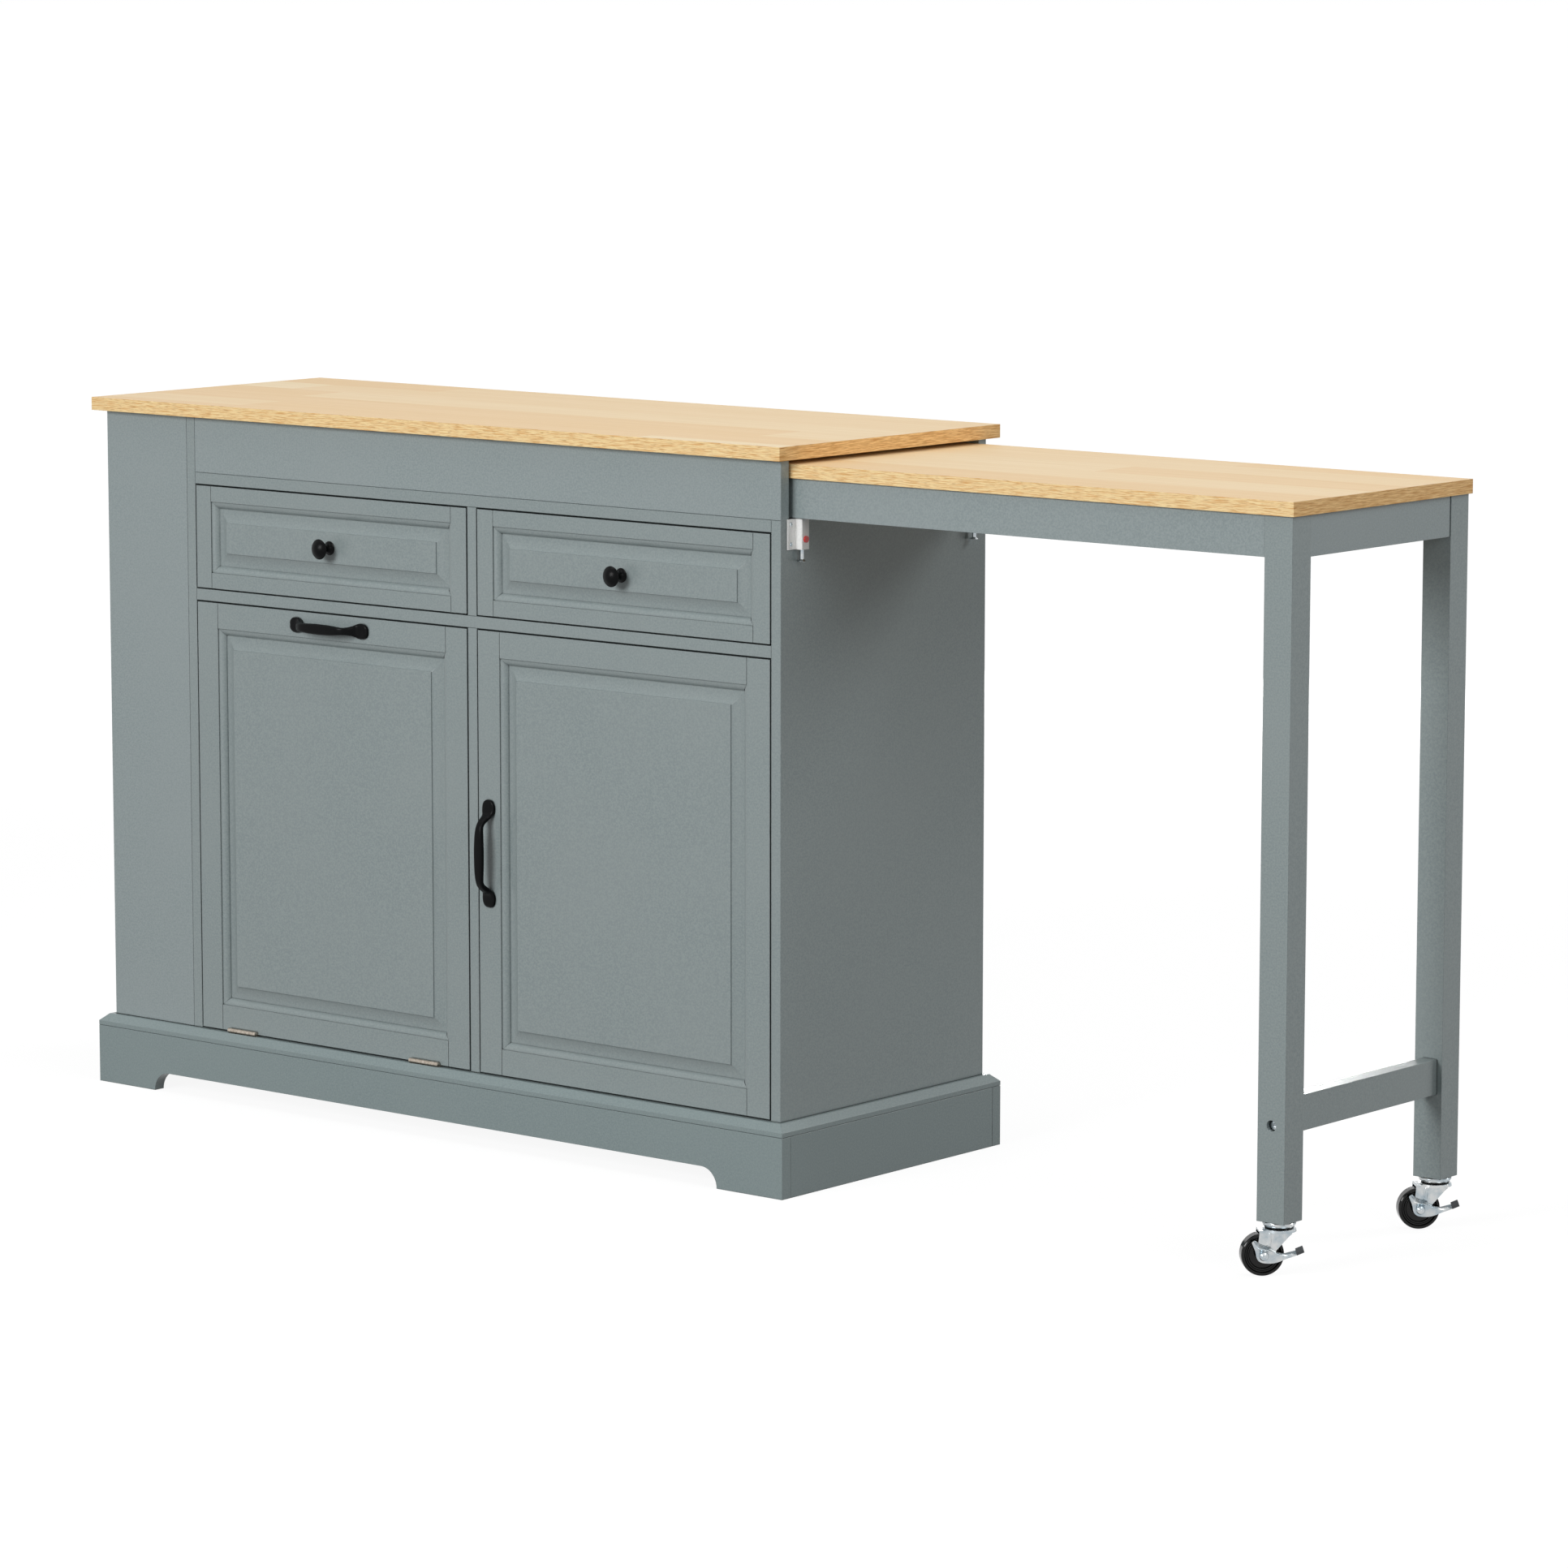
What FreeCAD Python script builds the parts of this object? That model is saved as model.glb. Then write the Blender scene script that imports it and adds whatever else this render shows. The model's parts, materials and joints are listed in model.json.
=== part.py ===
import FreeCAD
import Part

import math
import os

from FreeCAD import Vector

# Sizes are in millimetres. The pieces are built with X running right from the cabinet's right
# side, Y running back from its front and Z running up from the floor. The last step moves them
# so that the origin is the middle of the island's footprint.

# Cabinet boards
board = 15.0
cabinet_width = 1150.0
cabinet_depth = 402.0
rack_width = 147.0
plinth_height = 76.0
door_opening = 567.0
drawer_opening = 137.0
slot_height = 72.4
back_thick = 5.0
back_inset = 8.0
worktop_thick = 17.0
worktop_over_left = 16.0
worktop_over_right = 8.0
worktop_over_front = 12.0
worktop_over_back = 18.0
arris = 0.6

# Plinth and its cap moulding
plinth_thick = 16.0
foot_width = 104.0
arch_height = 25.0
arch_radius = 25.0
cap_ledge = 6.0
cap_nosing = 6.0
cap_relief = 1.2
corner_block = 40.0
centre_rail_setback = 120.0

# Side rack at the left end
rack_levels = 3
guard_height = 40.0
guard_thick = 10.0
guard_lift = 30.0

# Frames of the drawers and doors, seen from the front
front_thick = 18.0
front_gap = 2.0
door_stile = 36.0
door_rail = 33.0
drawer_stile = 26.0
drawer_rail = 20.0
joint_gap = 0.6
stick_width = 9.0
stick_step = 1.6
panel_setback = 8.0
panel_edge_thick = 6.0
groove_depth = 8.0
panel_play = 1.0
field_setback = 2.3
bevel_width = 18.0

# Drawer boxes and slides
box_side = 12.0
box_bottom = 5.0
box_height = 92.0
box_depth = 350.0
box_lift = 14.0
box_floor_lift = 8.0
slide_setback = 2.0
slide_width = 12.5
slide_height = 35.0
slide_sheet = 1.2
slide_lip = 8.3
slide_play = 0.4

# Knobs and pulls
knob_head_radius = 13.0
knob_base_radius = 9.0
knob_neck_radius = 4.3
knob_reach = 27.0
knob_foot_edge = 1.5
knob_neck_at = 7.5
knob_waist_at = 12.0
knob_waist_radius = 5.0
knob_crown_rise = 6.5
pull_length = 136.0
pull_foot_radius = 10.0
pull_foot_thick = 3.5
pull_standoff = 18.6
pull_half_width = 6.0
pull_half_thick = 4.8
pull_from_top = 17.0
pull_foot_tail = 12.0

# Tilt-out door: butt hinges, bin frame and stops
hinge_radius = 3.0
hinge_pin_radius = 1.2
hinge_bore_play = 0.05
hinge_length = 50.0
hinge_inset = 75.5
hinge_leaf = 0.8
hinge_leaf_depth = 16.0
hinge_knuckles = 9
hinge_play = 0.3
hinge_proud = 0.4
hinge_tab = 1.5
bin_board = 12.0
bin_wall_gap = 20.0
bin_depth = 270.0
bin_height = 240.0
bin_floor_lift = 7.0
bin_back_height = 110.0
lug_setback = 6.0
lug_drop = 4.0
lug_wall_gap = 6.0
stop_size = 20.0
stop_wall_gap = 4.0
tilt_range = 35.0
stop_clearance = 0.6

# Storage door: concealed hinges, and the shelf behind it
cup_radius = 17.5
cup_depth = 12.0
cup_wall = 1.0
cup_edge = 5.0
link_lift = 4.0
hinge_end_inset = 80.0
arm_width = 14.0
arm_length = 62.0
arm_thick = 5.0
arm_play = 0.5
link_thick = 4.0
shelf_height = 279.0
shelf_play = 0.4
shelf_setback = 12.0
pin_radius = 2.5
pin_reach = 9.0
pin_depth = 8.0
pin_from_edge = 40.0
pin_rows = (-64.0, 0.0, 64.0)

# Slide-out table
table_length = 1000.0
table_reach = 731.0
table_thick = 17.0
table_side_gap = 3.0
table_head_gap = 5.4
table_rail_gap = 2.0
table_rail_thick = 15.0
table_rail_inset = 1.0
table_inset = 3.5
leg_width = 38.0
leg_depth = 36.5
glide_clearance = 0.3
glide_length = 40.0
stretcher_height = 42.0
stretcher_thick = 20.0
stretcher_bottom = 165.0
stretcher_inset = 7.0
bolt_height = 176.0
bolt_head_radius = 5.2
bolt_head_length = 6.0
bolt_radius = 3.0
bolt_reach = 36.0
counterbore_radius = 6.5
counterbore_depth = 12.0
table_travel = 644.0
table_stop_length = 20.0
table_stop_height = 30.0
table_stop_width = 40.0

# Latches under the table's rails
latch_reach = 12.7
latch_width = 14.2
latch_height = 37.0
latch_flange = 13.4
latch_flange_thick = 2.5
latch_from_front = 11.3
latch_head_gap = 1.0
latch_corner_radius = 1.5
latch_bolt_radius = 2.5
latch_bolt_play = 0.1
latch_hole_play = 0.6
latch_hole_depth = 14.0
latch_bolt_below = 12.0
latch_travel = 10.0
latch_knob_radius = 5.4
latch_knob_thick = 2.6
latch_screw_radius = 2.0
latch_screw_inset = 6.5
button_radius = 4.0
button_drop = 24.6
button_proud = 1.8
button_travel = 1.5
button_play = 0.1
button_floor = 0.3

# Casters, in their own frame: stem on Z, wheel trailing along X, brake lever on the +Y side
caster_height = 63.0
caster_swivel = 225.0
caster_trail = 20.0
wheel_radius = 25.0
wheel_width = 18.0
wheel_side_play = 0.3
hub_radius = 7.0
hub_proud = 0.9
axle_radius = 3.0
axle_play = 0.06
race_radius = 19.0
race_thick = 4.4
race_gap = 2.3
swivel_clearance = 0.3
fork_top_radius = 20.0
fork_top_thick = 4.5
fork_sheet = 1.8
rib_radius = 2.2
rib_proud = 1.0
kingpin_radius = 4.0
kingpin_play = 0.06
kingpin_head_radius = 6.5
kingpin_head_thick = 1.7
stem_radius = 4.0
stem_length = 26.0
lever_thick = 1.5
lever_gap = 0.3
lever_boss_radius = 8.2
cap_nut_radius = 5.5

# Heights of the boards
floor_top = plinth_height + board
shelf_bottom = floor_top + door_opening
shelf_top = shelf_bottom + board
deck_bottom = shelf_top + drawer_opening
deck_top = deck_bottom + board
worktop_bottom = deck_top + slot_height
total_height = worktop_bottom + worktop_thick

# Places of the upright boards, from the right side panel leftwards
bay_width = (cabinet_width - rack_width - 3 * board) / 2
right_bay = (-board - bay_width, -board)
divider = (right_bay[0] - board, right_bay[0])
left_bay = (divider[0] - bay_width, divider[0])
inner_panel = (left_bay[0] - board, left_bay[0])
rack = (-cabinet_width, inner_panel[0])
back_face = cabinet_depth - back_inset - back_thick

# Places on the table
table_top_z = worktop_bottom - table_head_gap
table_under = table_top_z - table_thick
rail_bottom = deck_top + table_rail_gap
table_front = board + table_side_gap
table_back = cabinet_depth - board - table_side_gap
table_left = table_reach - table_length
leg_right = table_reach - table_inset
leg_left = leg_right - leg_width
leg_front = table_front + table_inset
leg_back = table_back - table_inset
rail_front = leg_front + table_rail_inset
rail_inner = rail_front + table_rail_thick
stem_x = leg_right - leg_width / 2
front_stem_y = leg_front + leg_depth / 2
back_stem_y = leg_back - leg_depth / 2

# The tilt-out door turns about its butt hinges' pins
tilt_pivot = Vector(0, -hinge_radius - hinge_proud, floor_top + hinge_radius + hinge_play)

# The latch bolt's axis, from the cabinet's right side and front
latch_bolt_x = latch_reach / 2
latch_bolt_y = latch_from_front + latch_flange + latch_width / 2
latch_top = rail_bottom - latch_head_gap


def block(x0, x1, y0, y1, z0, z1):
    return Part.makeBox(x1 - x0, y1 - y0, z1 - z0, Vector(x0, y0, z0))


def rod(radius, start, end):
    path = end - start
    return Part.makeCylinder(radius, path.Length, start, path)


def prism(points, push):
    outline = Part.makePolygon(points + [points[0]])
    return Part.Face(outline).extrude(push)


def revolve_profile(points, centre, direction):
    outline = Part.makePolygon(points + [points[0]])
    return Part.Face(outline).revolve(centre, direction, 360)


def mirrored_depth(shape):
    return shape.mirror(Vector(0, cabinet_depth / 2, 0), Vector(0, 1, 0))


def one_solid(shape):
    return shape.removeSplitter().Solids[0]


def same(a, b):
    return abs(a - b) < 0.01


def eased_where(board_shape, wanted):
    """The board with a fine chamfer along every edge whose box the test picks."""
    picked = [edge for edge in board_shape.Edges if wanted(edge.BoundBox)]
    return board_shape.makeChamfer(arris, picked)


def eased(board_shape, face_y):
    """The board with the arrises round one face taken off, so that flush joints show as fine lines."""
    return eased_where(board_shape, lambda box: same(box.YMin, face_y) and same(box.YMax, face_y))


# Cabinet


def make_worktop():
    left = -cabinet_width - worktop_over_left
    back = cabinet_depth + worktop_over_back
    return [block(left, worktop_over_right, -worktop_over_front, back, worktop_bottom, total_height)]


def make_fascia():
    return eased(block(left_bay[0], 0, 0, board, deck_top, worktop_bottom), 0)


def make_rack_board():
    return eased(block(rack[0], rack[1], 0, board, floor_top, worktop_bottom), 0)


def make_inner_panel():
    panel = block(inner_panel[0], inner_panel[1], 0, cabinet_depth, floor_top, worktop_bottom)
    return [eased(eased(panel, 0), cabinet_depth)]


def pin_places():
    places = []
    for y in (pin_from_edge, back_face - pin_from_edge):
        places.append((right_bay[0], y, 1))
        places.append((right_bay[1], y, -1))
    return places


def pin_at(x, y, side, lift):
    z = floor_top + shelf_height - pin_radius + lift
    return rod(pin_radius, Vector(x - side * pin_depth, y, z), Vector(x + side * pin_reach, y, z))


def with_pin_holes(panel):
    """Rows of holes in front and behind, of which the shelf's pins use one row."""
    for x, y, side in pin_places():
        for lift in pin_rows:
            panel = panel.cut(pin_at(x, y, side, lift))
    return panel


def make_side_panel():
    panel = eased(block(-board, 0, 0, cabinet_depth, 0, deck_top), 0)
    return [with_pin_holes(eased(panel, cabinet_depth))]


def make_dividers():
    upper = block(divider[0], divider[1], 0, back_face, shelf_top, deck_bottom)
    lower = block(divider[0], divider[1], 0, back_face, floor_top, shelf_bottom)
    return [eased(upper, 0), with_pin_holes(eased(lower, 0))]


def make_deck():
    deck = block(left_bay[0], -board, 0, cabinet_depth, deck_bottom, deck_top)
    return [eased(eased(deck, 0), cabinet_depth)]


def make_drawer_shelf():
    return [eased(block(left_bay[0], -board, 0, back_face, shelf_bottom, shelf_top), 0)]


def make_floor():
    return [block(-cabinet_width, -board, 0, cabinet_depth, plinth_height, floor_top)]


def make_back_panel():
    return [block(left_bay[0], -board, back_face, back_face + back_thick, floor_top, deck_bottom)]


def make_storage_shelf():
    z = floor_top + shelf_height
    left = right_bay[0] + shelf_play
    right = right_bay[1] - shelf_play
    shelf = block(left, right, front_thick + shelf_setback, back_face - shelf_play, z, z + board)
    return [shelf] + [pin_at(x, y, side, 0) for x, y, side in pin_places()]


def make_side_rack():
    pieces = []
    pitch = (worktop_bottom - floor_top) / rack_levels
    for level in range(rack_levels):
        z = floor_top + level * pitch
        if level > 0:
            pieces.append(block(rack[0], rack[1], board, cabinet_depth - board, z - board, z))
        low = z + guard_lift
        guard_in = rack[0] + guard_thick
        pieces.append(block(rack[0], guard_in, board, cabinet_depth - board, low, low + guard_height))
    return pieces


def make_plinth_front():
    left = -cabinet_width - plinth_thick
    right = plinth_thick
    face = block(left, right, -plinth_thick, 0, 0, plinth_height)
    arch = block(left + foot_width, right - foot_width, -plinth_thick, 0, 0, arch_height)
    corners = []
    for edge in arch.Edges:
        at = edge.CenterOfMass
        if abs(edge.Length - plinth_thick) < 0.01 and at.z > arch_height / 2:
            corners.append(edge)
    arch = arch.makeFillet(min(arch_radius, arch_height - 0.01), corners)
    board_shape = one_solid(face.cut(arch))
    return eased_where(board_shape, lambda box: same(box.ZMin, plinth_height) and same(box.YMax, -plinth_thick))


def make_plinth_ends():
    ends = []
    for inner, outer in ((-cabinet_width, -cabinet_width - plinth_thick), (0, plinth_thick)):
        end = block(min(inner, outer), max(inner, outer), 0, cabinet_depth, 0, plinth_height)
        ends.append(eased_where(
            end, lambda box, face=outer: same(box.XMin, face) and same(box.XMax, face) and box.ZMax > arris))
    return ends


def make_plinth_blocks():
    pieces = []
    for x in (-cabinet_width, -board - corner_block):
        for y in (0, cabinet_depth - corner_block):
            pieces.append(block(x, x + corner_block, y, y + corner_block, 0, plinth_height))
    rail_back = cabinet_depth - centre_rail_setback
    for x0, x1 in (divider, inner_panel):
        pieces.append(block(x0, x1, centre_rail_setback, rail_back, 0, plinth_height))
    return pieces


def cap_length(run, along, outward, start):
    """One straight length of cap moulding whose ends are mitred at 45 degrees."""
    low = plinth_height
    up = Vector(0, 0, 1)
    profile = [
        (0, 0), (plinth_thick - arris, 0), (plinth_thick, arris), (plinth_thick, cap_nosing),
        (cap_ledge, board), (cap_relief, board), (0, board - cap_relief),
    ]
    points = [start + outward * o + up * (low + h) - along * plinth_thick for o, h in profile]
    bar = prism(points, along * (run + 2 * plinth_thick))
    for end, sign in ((start, -1), (start + along * run, 1)):
        beyond = along * sign * plinth_thick * 2
        wedge = [end, end + beyond, end + beyond + outward * plinth_thick * 2]
        bar = bar.cut(prism(wedge, up * total_height))
    return bar


def make_plinth_cap():
    x, y = Vector(1, 0, 0), Vector(0, 1, 0)
    w, d = cabinet_width, cabinet_depth
    return [
        cap_length(w, x, y * -1, Vector(-w, 0, 0)),
        cap_length(w, x, y, Vector(-w, d, 0)),
        cap_length(d, y, x * -1, Vector(-w, 0, 0)),
        cap_length(d, y, x, Vector(0, 0, 0)),
    ]


# Framed drawer fronts and doors


def stick_profile(width):
    """Half section of a stile from its outer edge: flat face, moulded inner edge, panel groove."""
    inner = width + stick_width
    step = Vector(width, stick_step, 0)
    mid = Vector(width + stick_width * 0.62, stick_step + (panel_setback - stick_step) * 0.3, 0)
    tip = Vector(inner, panel_setback, 0)
    groove_x = inner - groove_depth
    lip = panel_setback + panel_edge_thick
    edges = [
        Part.makeLine(Vector(0, 0, 0), Vector(width, 0, 0)),
        Part.makeLine(Vector(width, 0, 0), step),
        Part.Arc(step, mid, tip).toShape(),
    ]
    rest = [tip, Vector(groove_x, panel_setback, 0), Vector(groove_x, lip, 0), Vector(inner, lip, 0)]
    rest += [Vector(inner, front_thick, 0), Vector(0, front_thick, 0), Vector(0, 0, 0)]
    for start, end in zip(rest, rest[1:]):
        edges.append(Part.makeLine(start, end))
    return Part.Face(Part.Wire(edges))


def frame_bar(width, length):
    return stick_profile(width).extrude(Vector(0, 0, length))


def make_frame(x0, x1, z0, z1, stile, rail):
    """Two full-height stiles, and two rails coped over their moulded edges with a hairline joint."""
    left = frame_bar(stile, z1 - z0)
    left.translate(Vector(x0, 0, z0))
    right = left.mirror(Vector((x0 + x1) / 2, 0, 0), Vector(1, 0, 0))
    bar = frame_bar(rail, x1 - x0 - 2 * stile)
    bar.rotate(Vector(0, 0, 0), Vector(0, 1, 0), 90)
    bar.translate(Vector(x0 + stile, 0, z1))
    top = bar
    for stile_bar, way in ((left, 1), (right, -1)):
        cope = stile_bar.copy()
        cope.translate(Vector(way * joint_gap, 0, 0))
        top = top.cut(cope)
    bottom = top.mirror(Vector(0, 0, (z0 + z1) / 2), Vector(0, 0, 1))
    return [left, right, one_solid(top), one_solid(bottom)]


def bevel_cutter(length):
    """The space above a raised panel's cove, along one edge; X runs in from the moulding."""
    edge = Vector(0, panel_setback, 0)
    field = Vector(bevel_width, field_setback, 0)
    rise = panel_setback - field_setback
    radius = (bevel_width ** 2 + rise ** 2) / (2 * rise)
    half = math.asin(bevel_width / radius) / 2
    middle = Vector(radius * math.sin(half), panel_setback - radius * (1 - math.cos(half)), 0)
    out = -groove_depth
    edges = [
        Part.makeLine(Vector(out, panel_setback, 0), edge),
        Part.Arc(edge, middle, field).toShape(),
        Part.makeLine(field, Vector(bevel_width, 0, 0)),
        Part.makeLine(Vector(bevel_width, 0, 0), Vector(out, 0, 0)),
        Part.makeLine(Vector(out, 0, 0), Vector(out, panel_setback, 0)),
    ]
    return Part.Face(Part.Wire(edges)).extrude(Vector(0, 0, length))


def make_raised_panel(x0, x1, z0, z1, stile, rail):
    tongue = groove_depth - panel_play
    inner = (x0 + stile + stick_width, x1 - stile - stick_width)
    level = (z0 + rail + stick_width, z1 - rail - stick_width)
    back = panel_setback + panel_edge_thick
    low, high = level[0] - tongue, level[1] + tongue
    panel = block(inner[0] - tongue, inner[1] + tongue, field_setback, back, low, high)
    side = bevel_cutter(high - low)
    side.translate(Vector(inner[0], 0, low))
    across = bevel_cutter(inner[1] - inner[0] + 2 * tongue)
    across.rotate(Vector(0, 0, 0), Vector(0, 1, 0), 90)
    across.translate(Vector(inner[0] - tongue, 0, level[1]))
    middle = Vector((x0 + x1) / 2, 0, (z0 + z1) / 2)
    for cutter, normal in ((side, Vector(1, 0, 0)), (across, Vector(0, 0, 1))):
        panel = panel.cut(cutter).cut(cutter.mirror(middle, normal))
    return one_solid(panel)


def front_edges(bay, low, high):
    return bay[0] + front_gap, bay[1] - front_gap, low + front_gap, high - front_gap


def make_knob(x, z):
    """Turned mushroom knob: wide foot, narrow neck, domed head."""
    head, reach = knob_head_radius, knob_reach
    rise = knob_crown_rise
    dome = (head ** 2 + rise ** 2) / (2 * rise)
    half = math.asin(head / dome) / 2

    def place(r, out):
        return Vector(x + r, field_setback - out, z)

    rim = place(head, reach - rise)
    crown = place(dome * math.sin(half), reach - dome * (1 - math.cos(half)))
    waist = place(knob_waist_radius, knob_waist_at)
    foot = place(knob_base_radius, knob_foot_edge)
    edges = [
        Part.makeLine(place(0, 0), place(knob_base_radius, 0)),
        Part.makeLine(place(knob_base_radius, 0), foot),
        Part.Arc(foot, place(knob_neck_radius, knob_neck_at), waist).toShape(),
        Part.Arc(waist, place(head * 0.72, reach * 0.6), rim).toShape(),
        Part.Arc(rim, crown, place(0, reach)).toShape(),
        Part.makeLine(place(0, reach), place(0, 0)),
    ]
    return Part.Face(Part.Wire(edges)).revolve(place(0, 0), Vector(0, 1, 0), 360)


def pull_section(along, out, slope, half_width, half_thick):
    """Ellipse square to the grip's path, whose slope is in degrees from the door's face."""
    centre = Vector(along, -out, 0)
    across = Vector(math.sin(math.radians(slope)), math.cos(math.radians(slope)), 0)
    ellipse = Part.Ellipse(centre + Vector(0, 0, half_width), centre + across * half_thick, centre)
    return Part.Wire(ellipse.toShape())


def make_pull(centre, upright):
    """Bow pull: two round-ended feet and a grip that swells in the middle."""
    foot = pull_length / 2 - pull_foot_radius
    hold = pull_standoff
    arm = [
        (foot - 5, 0.5, 80, 7.5, 5.0),
        (foot - 9.5, hold * 0.40, 62, 5.4, 4.2),
        (foot - 15.5, hold * 0.74, 36, 4.8, 3.9),
        (foot - 27, hold * 0.95, 9, 5.0, 4.1),
    ]
    wires = [pull_section(-a, out, slope, w, h) for a, out, slope, w, h in arm]
    wires.append(pull_section(0, hold, 0, pull_half_width, pull_half_thick))
    wires += [pull_section(a, out, -slope, w, h) for a, out, slope, w, h in reversed(arm)]
    pull = Part.makeLoft(wires, True)
    for side in (-1, 1):
        middle = Vector(side * foot, 0, 0)
        pad = rod(pull_foot_radius, middle, middle - Vector(0, pull_foot_thick, 0))
        reach = sorted((side * foot, side * (foot - pull_foot_tail)))
        bar = block(reach[0], reach[1], -pull_foot_thick, 0, -pull_foot_radius, pull_foot_radius)
        pull = pull.fuse(pad.fuse(bar))
    pull = pull.cut(block(-pull_length, pull_length, 0, pull_foot_radius, -pull_length, pull_length))
    if upright:
        pull.rotate(Vector(0, 0, 0), Vector(0, 1, 0), 90)
    pull.translate(centre)
    return one_solid(pull)


# Drawers


def make_slide(wall_x, side, moving):
    """A channel with two lips; the moving one nests inside the fixed one."""
    half = slide_height / 2
    web = (wall_x, wall_x + side * slide_sheet)
    lip = (wall_x, wall_x + side * slide_lip)
    if moving:
        half = half - slide_sheet - slide_play
        root = wall_x + side * slide_width
        web = (root - side * slide_sheet, root)
        lip = (root - side * slide_lip, root)
    z = shelf_top + box_lift + box_height / 2
    front = front_thick + slide_setback
    back = front + box_depth
    channel = block(min(web), max(web), front, back, z - half, z + half)
    for low in (z - half, z + half - slide_sheet):
        channel = channel.fuse(block(min(lip), max(lip), front, back, low, low + slide_sheet))
    return one_solid(channel)


def make_slide_rails():
    pieces = []
    for bay in (left_bay, right_bay):
        pieces += [make_slide(bay[0], 1, False), make_slide(bay[1], -1, False)]
    return pieces


def make_drawer_box(bay):
    """Sides, inner front and back stand on a thin bottom that is let in between them."""
    left, right = bay[0] + slide_width, bay[1] - slide_width
    inner_left, inner_right = left + box_side, right - box_side
    front, back = front_thick, front_thick + slide_setback + box_depth
    inner_front, inner_back = front + box_side, back - box_side
    low = shelf_top + box_lift
    high = low + box_height
    floor_z = low + box_floor_lift
    return [
        block(left, inner_left, front, back, low, high),
        block(inner_right, right, front, back, low, high),
        block(inner_left, inner_right, front, inner_front, low, high),
        block(inner_left, inner_right, inner_back, back, low, high),
        block(inner_left, inner_right, inner_front, inner_back, floor_z, floor_z + box_bottom),
    ]


def make_drawer(bay, pieces, side):
    x0, x1, z0, z1 = front_edges(bay, shelf_top, deck_bottom)
    frame = make_frame(x0, x1, z0, z1, drawer_stile, drawer_rail)
    panel = make_raised_panel(x0, x1, z0, z1, drawer_stile, drawer_rail)
    pieces["drawer_front_" + side] = frame + [panel]
    pieces["drawer_box_" + side] = make_drawer_box(bay)
    pieces["drawer_knob_" + side] = [make_knob((x0 + x1) / 2, (z0 + z1) / 2)]
    pieces["drawer_runner_" + side] = [make_slide(bay[0], 1, True), make_slide(bay[1], -1, True)]


# Tilt-out door


def hinge_starts():
    x0, x1 = left_bay[0] + front_gap, left_bay[1] - front_gap
    return [x0 + hinge_inset - hinge_length / 2, x1 - hinge_inset - hinge_length / 2]


def make_leaf(start, moving):
    """One leaf with its share of the knuckles; the fixed leaf also carries the pin."""
    pivot = Vector(start, tilt_pivot.y, tilt_pivot.z)
    along = Vector(1, 0, 0)
    pitch = hinge_length / hinge_knuckles
    leaf_top = floor_top + front_gap if moving else floor_top + hinge_leaf
    leaf_back = front_thick - 1 if moving else hinge_leaf_depth
    leaf = block(start, start + hinge_length, tilt_pivot.y, leaf_back, leaf_top - hinge_leaf, leaf_top)
    barrel = rod(hinge_radius + hinge_play, pivot, pivot + along * hinge_length)
    shape = leaf.cut(barrel)
    for n in range(hinge_knuckles):
        if (n % 2 == 1) != moving:
            continue
        near = pivot + along * (n * pitch + hinge_play / 2)
        far = pivot + along * ((n + 1) * pitch - hinge_play / 2)
        knuckle = rod(hinge_radius, near, far)
        tab_back = tilt_pivot.y + hinge_radius + hinge_tab
        tab = block(near.x, far.x, tilt_pivot.y, tab_back, leaf_top - hinge_leaf, leaf_top)
        shape = shape.fuse(knuckle.fuse(tab))
    bore = hinge_pin_radius + hinge_bore_play if moving else hinge_pin_radius
    shape = shape.cut(rod(bore, pivot, pivot + along * hinge_length))
    if not moving:
        shape = shape.fuse(rod(hinge_pin_radius, pivot, pivot + along * hinge_length))
    return one_solid(shape)


def bin_sides():
    return (left_bay[0] + bin_wall_gap, left_bay[1] - bin_wall_gap)


def make_bin_frame():
    """Open box on the back of the door that carries a waste bin, with a stop lug on each side."""
    left, right = bin_sides()
    front, back = front_thick, front_thick + bin_depth
    low = floor_top + bin_floor_lift
    high = low + bin_height
    lug_back = back - lug_setback
    lug_top = high - lug_drop
    pieces = []
    for x, side in ((left, 1), (right, -1)):
        xs = sorted((x, x + side * bin_board))
        wall = block(xs[0], xs[1], front, back, low, high)
        nose = sorted((x, x - side * (bin_wall_gap - lug_wall_gap)))
        lug = block(nose[0], nose[1], lug_back - stop_size, lug_back, lug_top - stop_size, lug_top)
        pieces.append(one_solid(wall.fuse(lug)))
    inner = (left + bin_board, right - bin_board)
    floor_z = low + bin_board
    pieces.append(block(inner[0], inner[1], front, back, low, floor_z))
    pieces.append(block(inner[0], inner[1], back - bin_board, back, floor_z, low + bin_back_height))
    return pieces


def make_tilt_stops():
    """Blocks on the bay's walls that the bin frame's lugs meet when the door is fully tipped."""
    back = front_thick + bin_depth - lug_setback
    low = floor_top + bin_floor_lift + bin_height - lug_drop + stop_clearance
    pieces = []
    for wall, side in ((left_bay[0], 1), (left_bay[1], -1)):
        xs = sorted((wall, wall + side * (bin_wall_gap - stop_wall_gap)))
        stop = block(xs[0], xs[1], back - stop_size, back, low, low + stop_size)
        stop.rotate(tilt_pivot, Vector(1, 0, 0), tilt_range)
        pieces.append(stop)
    return pieces


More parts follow.
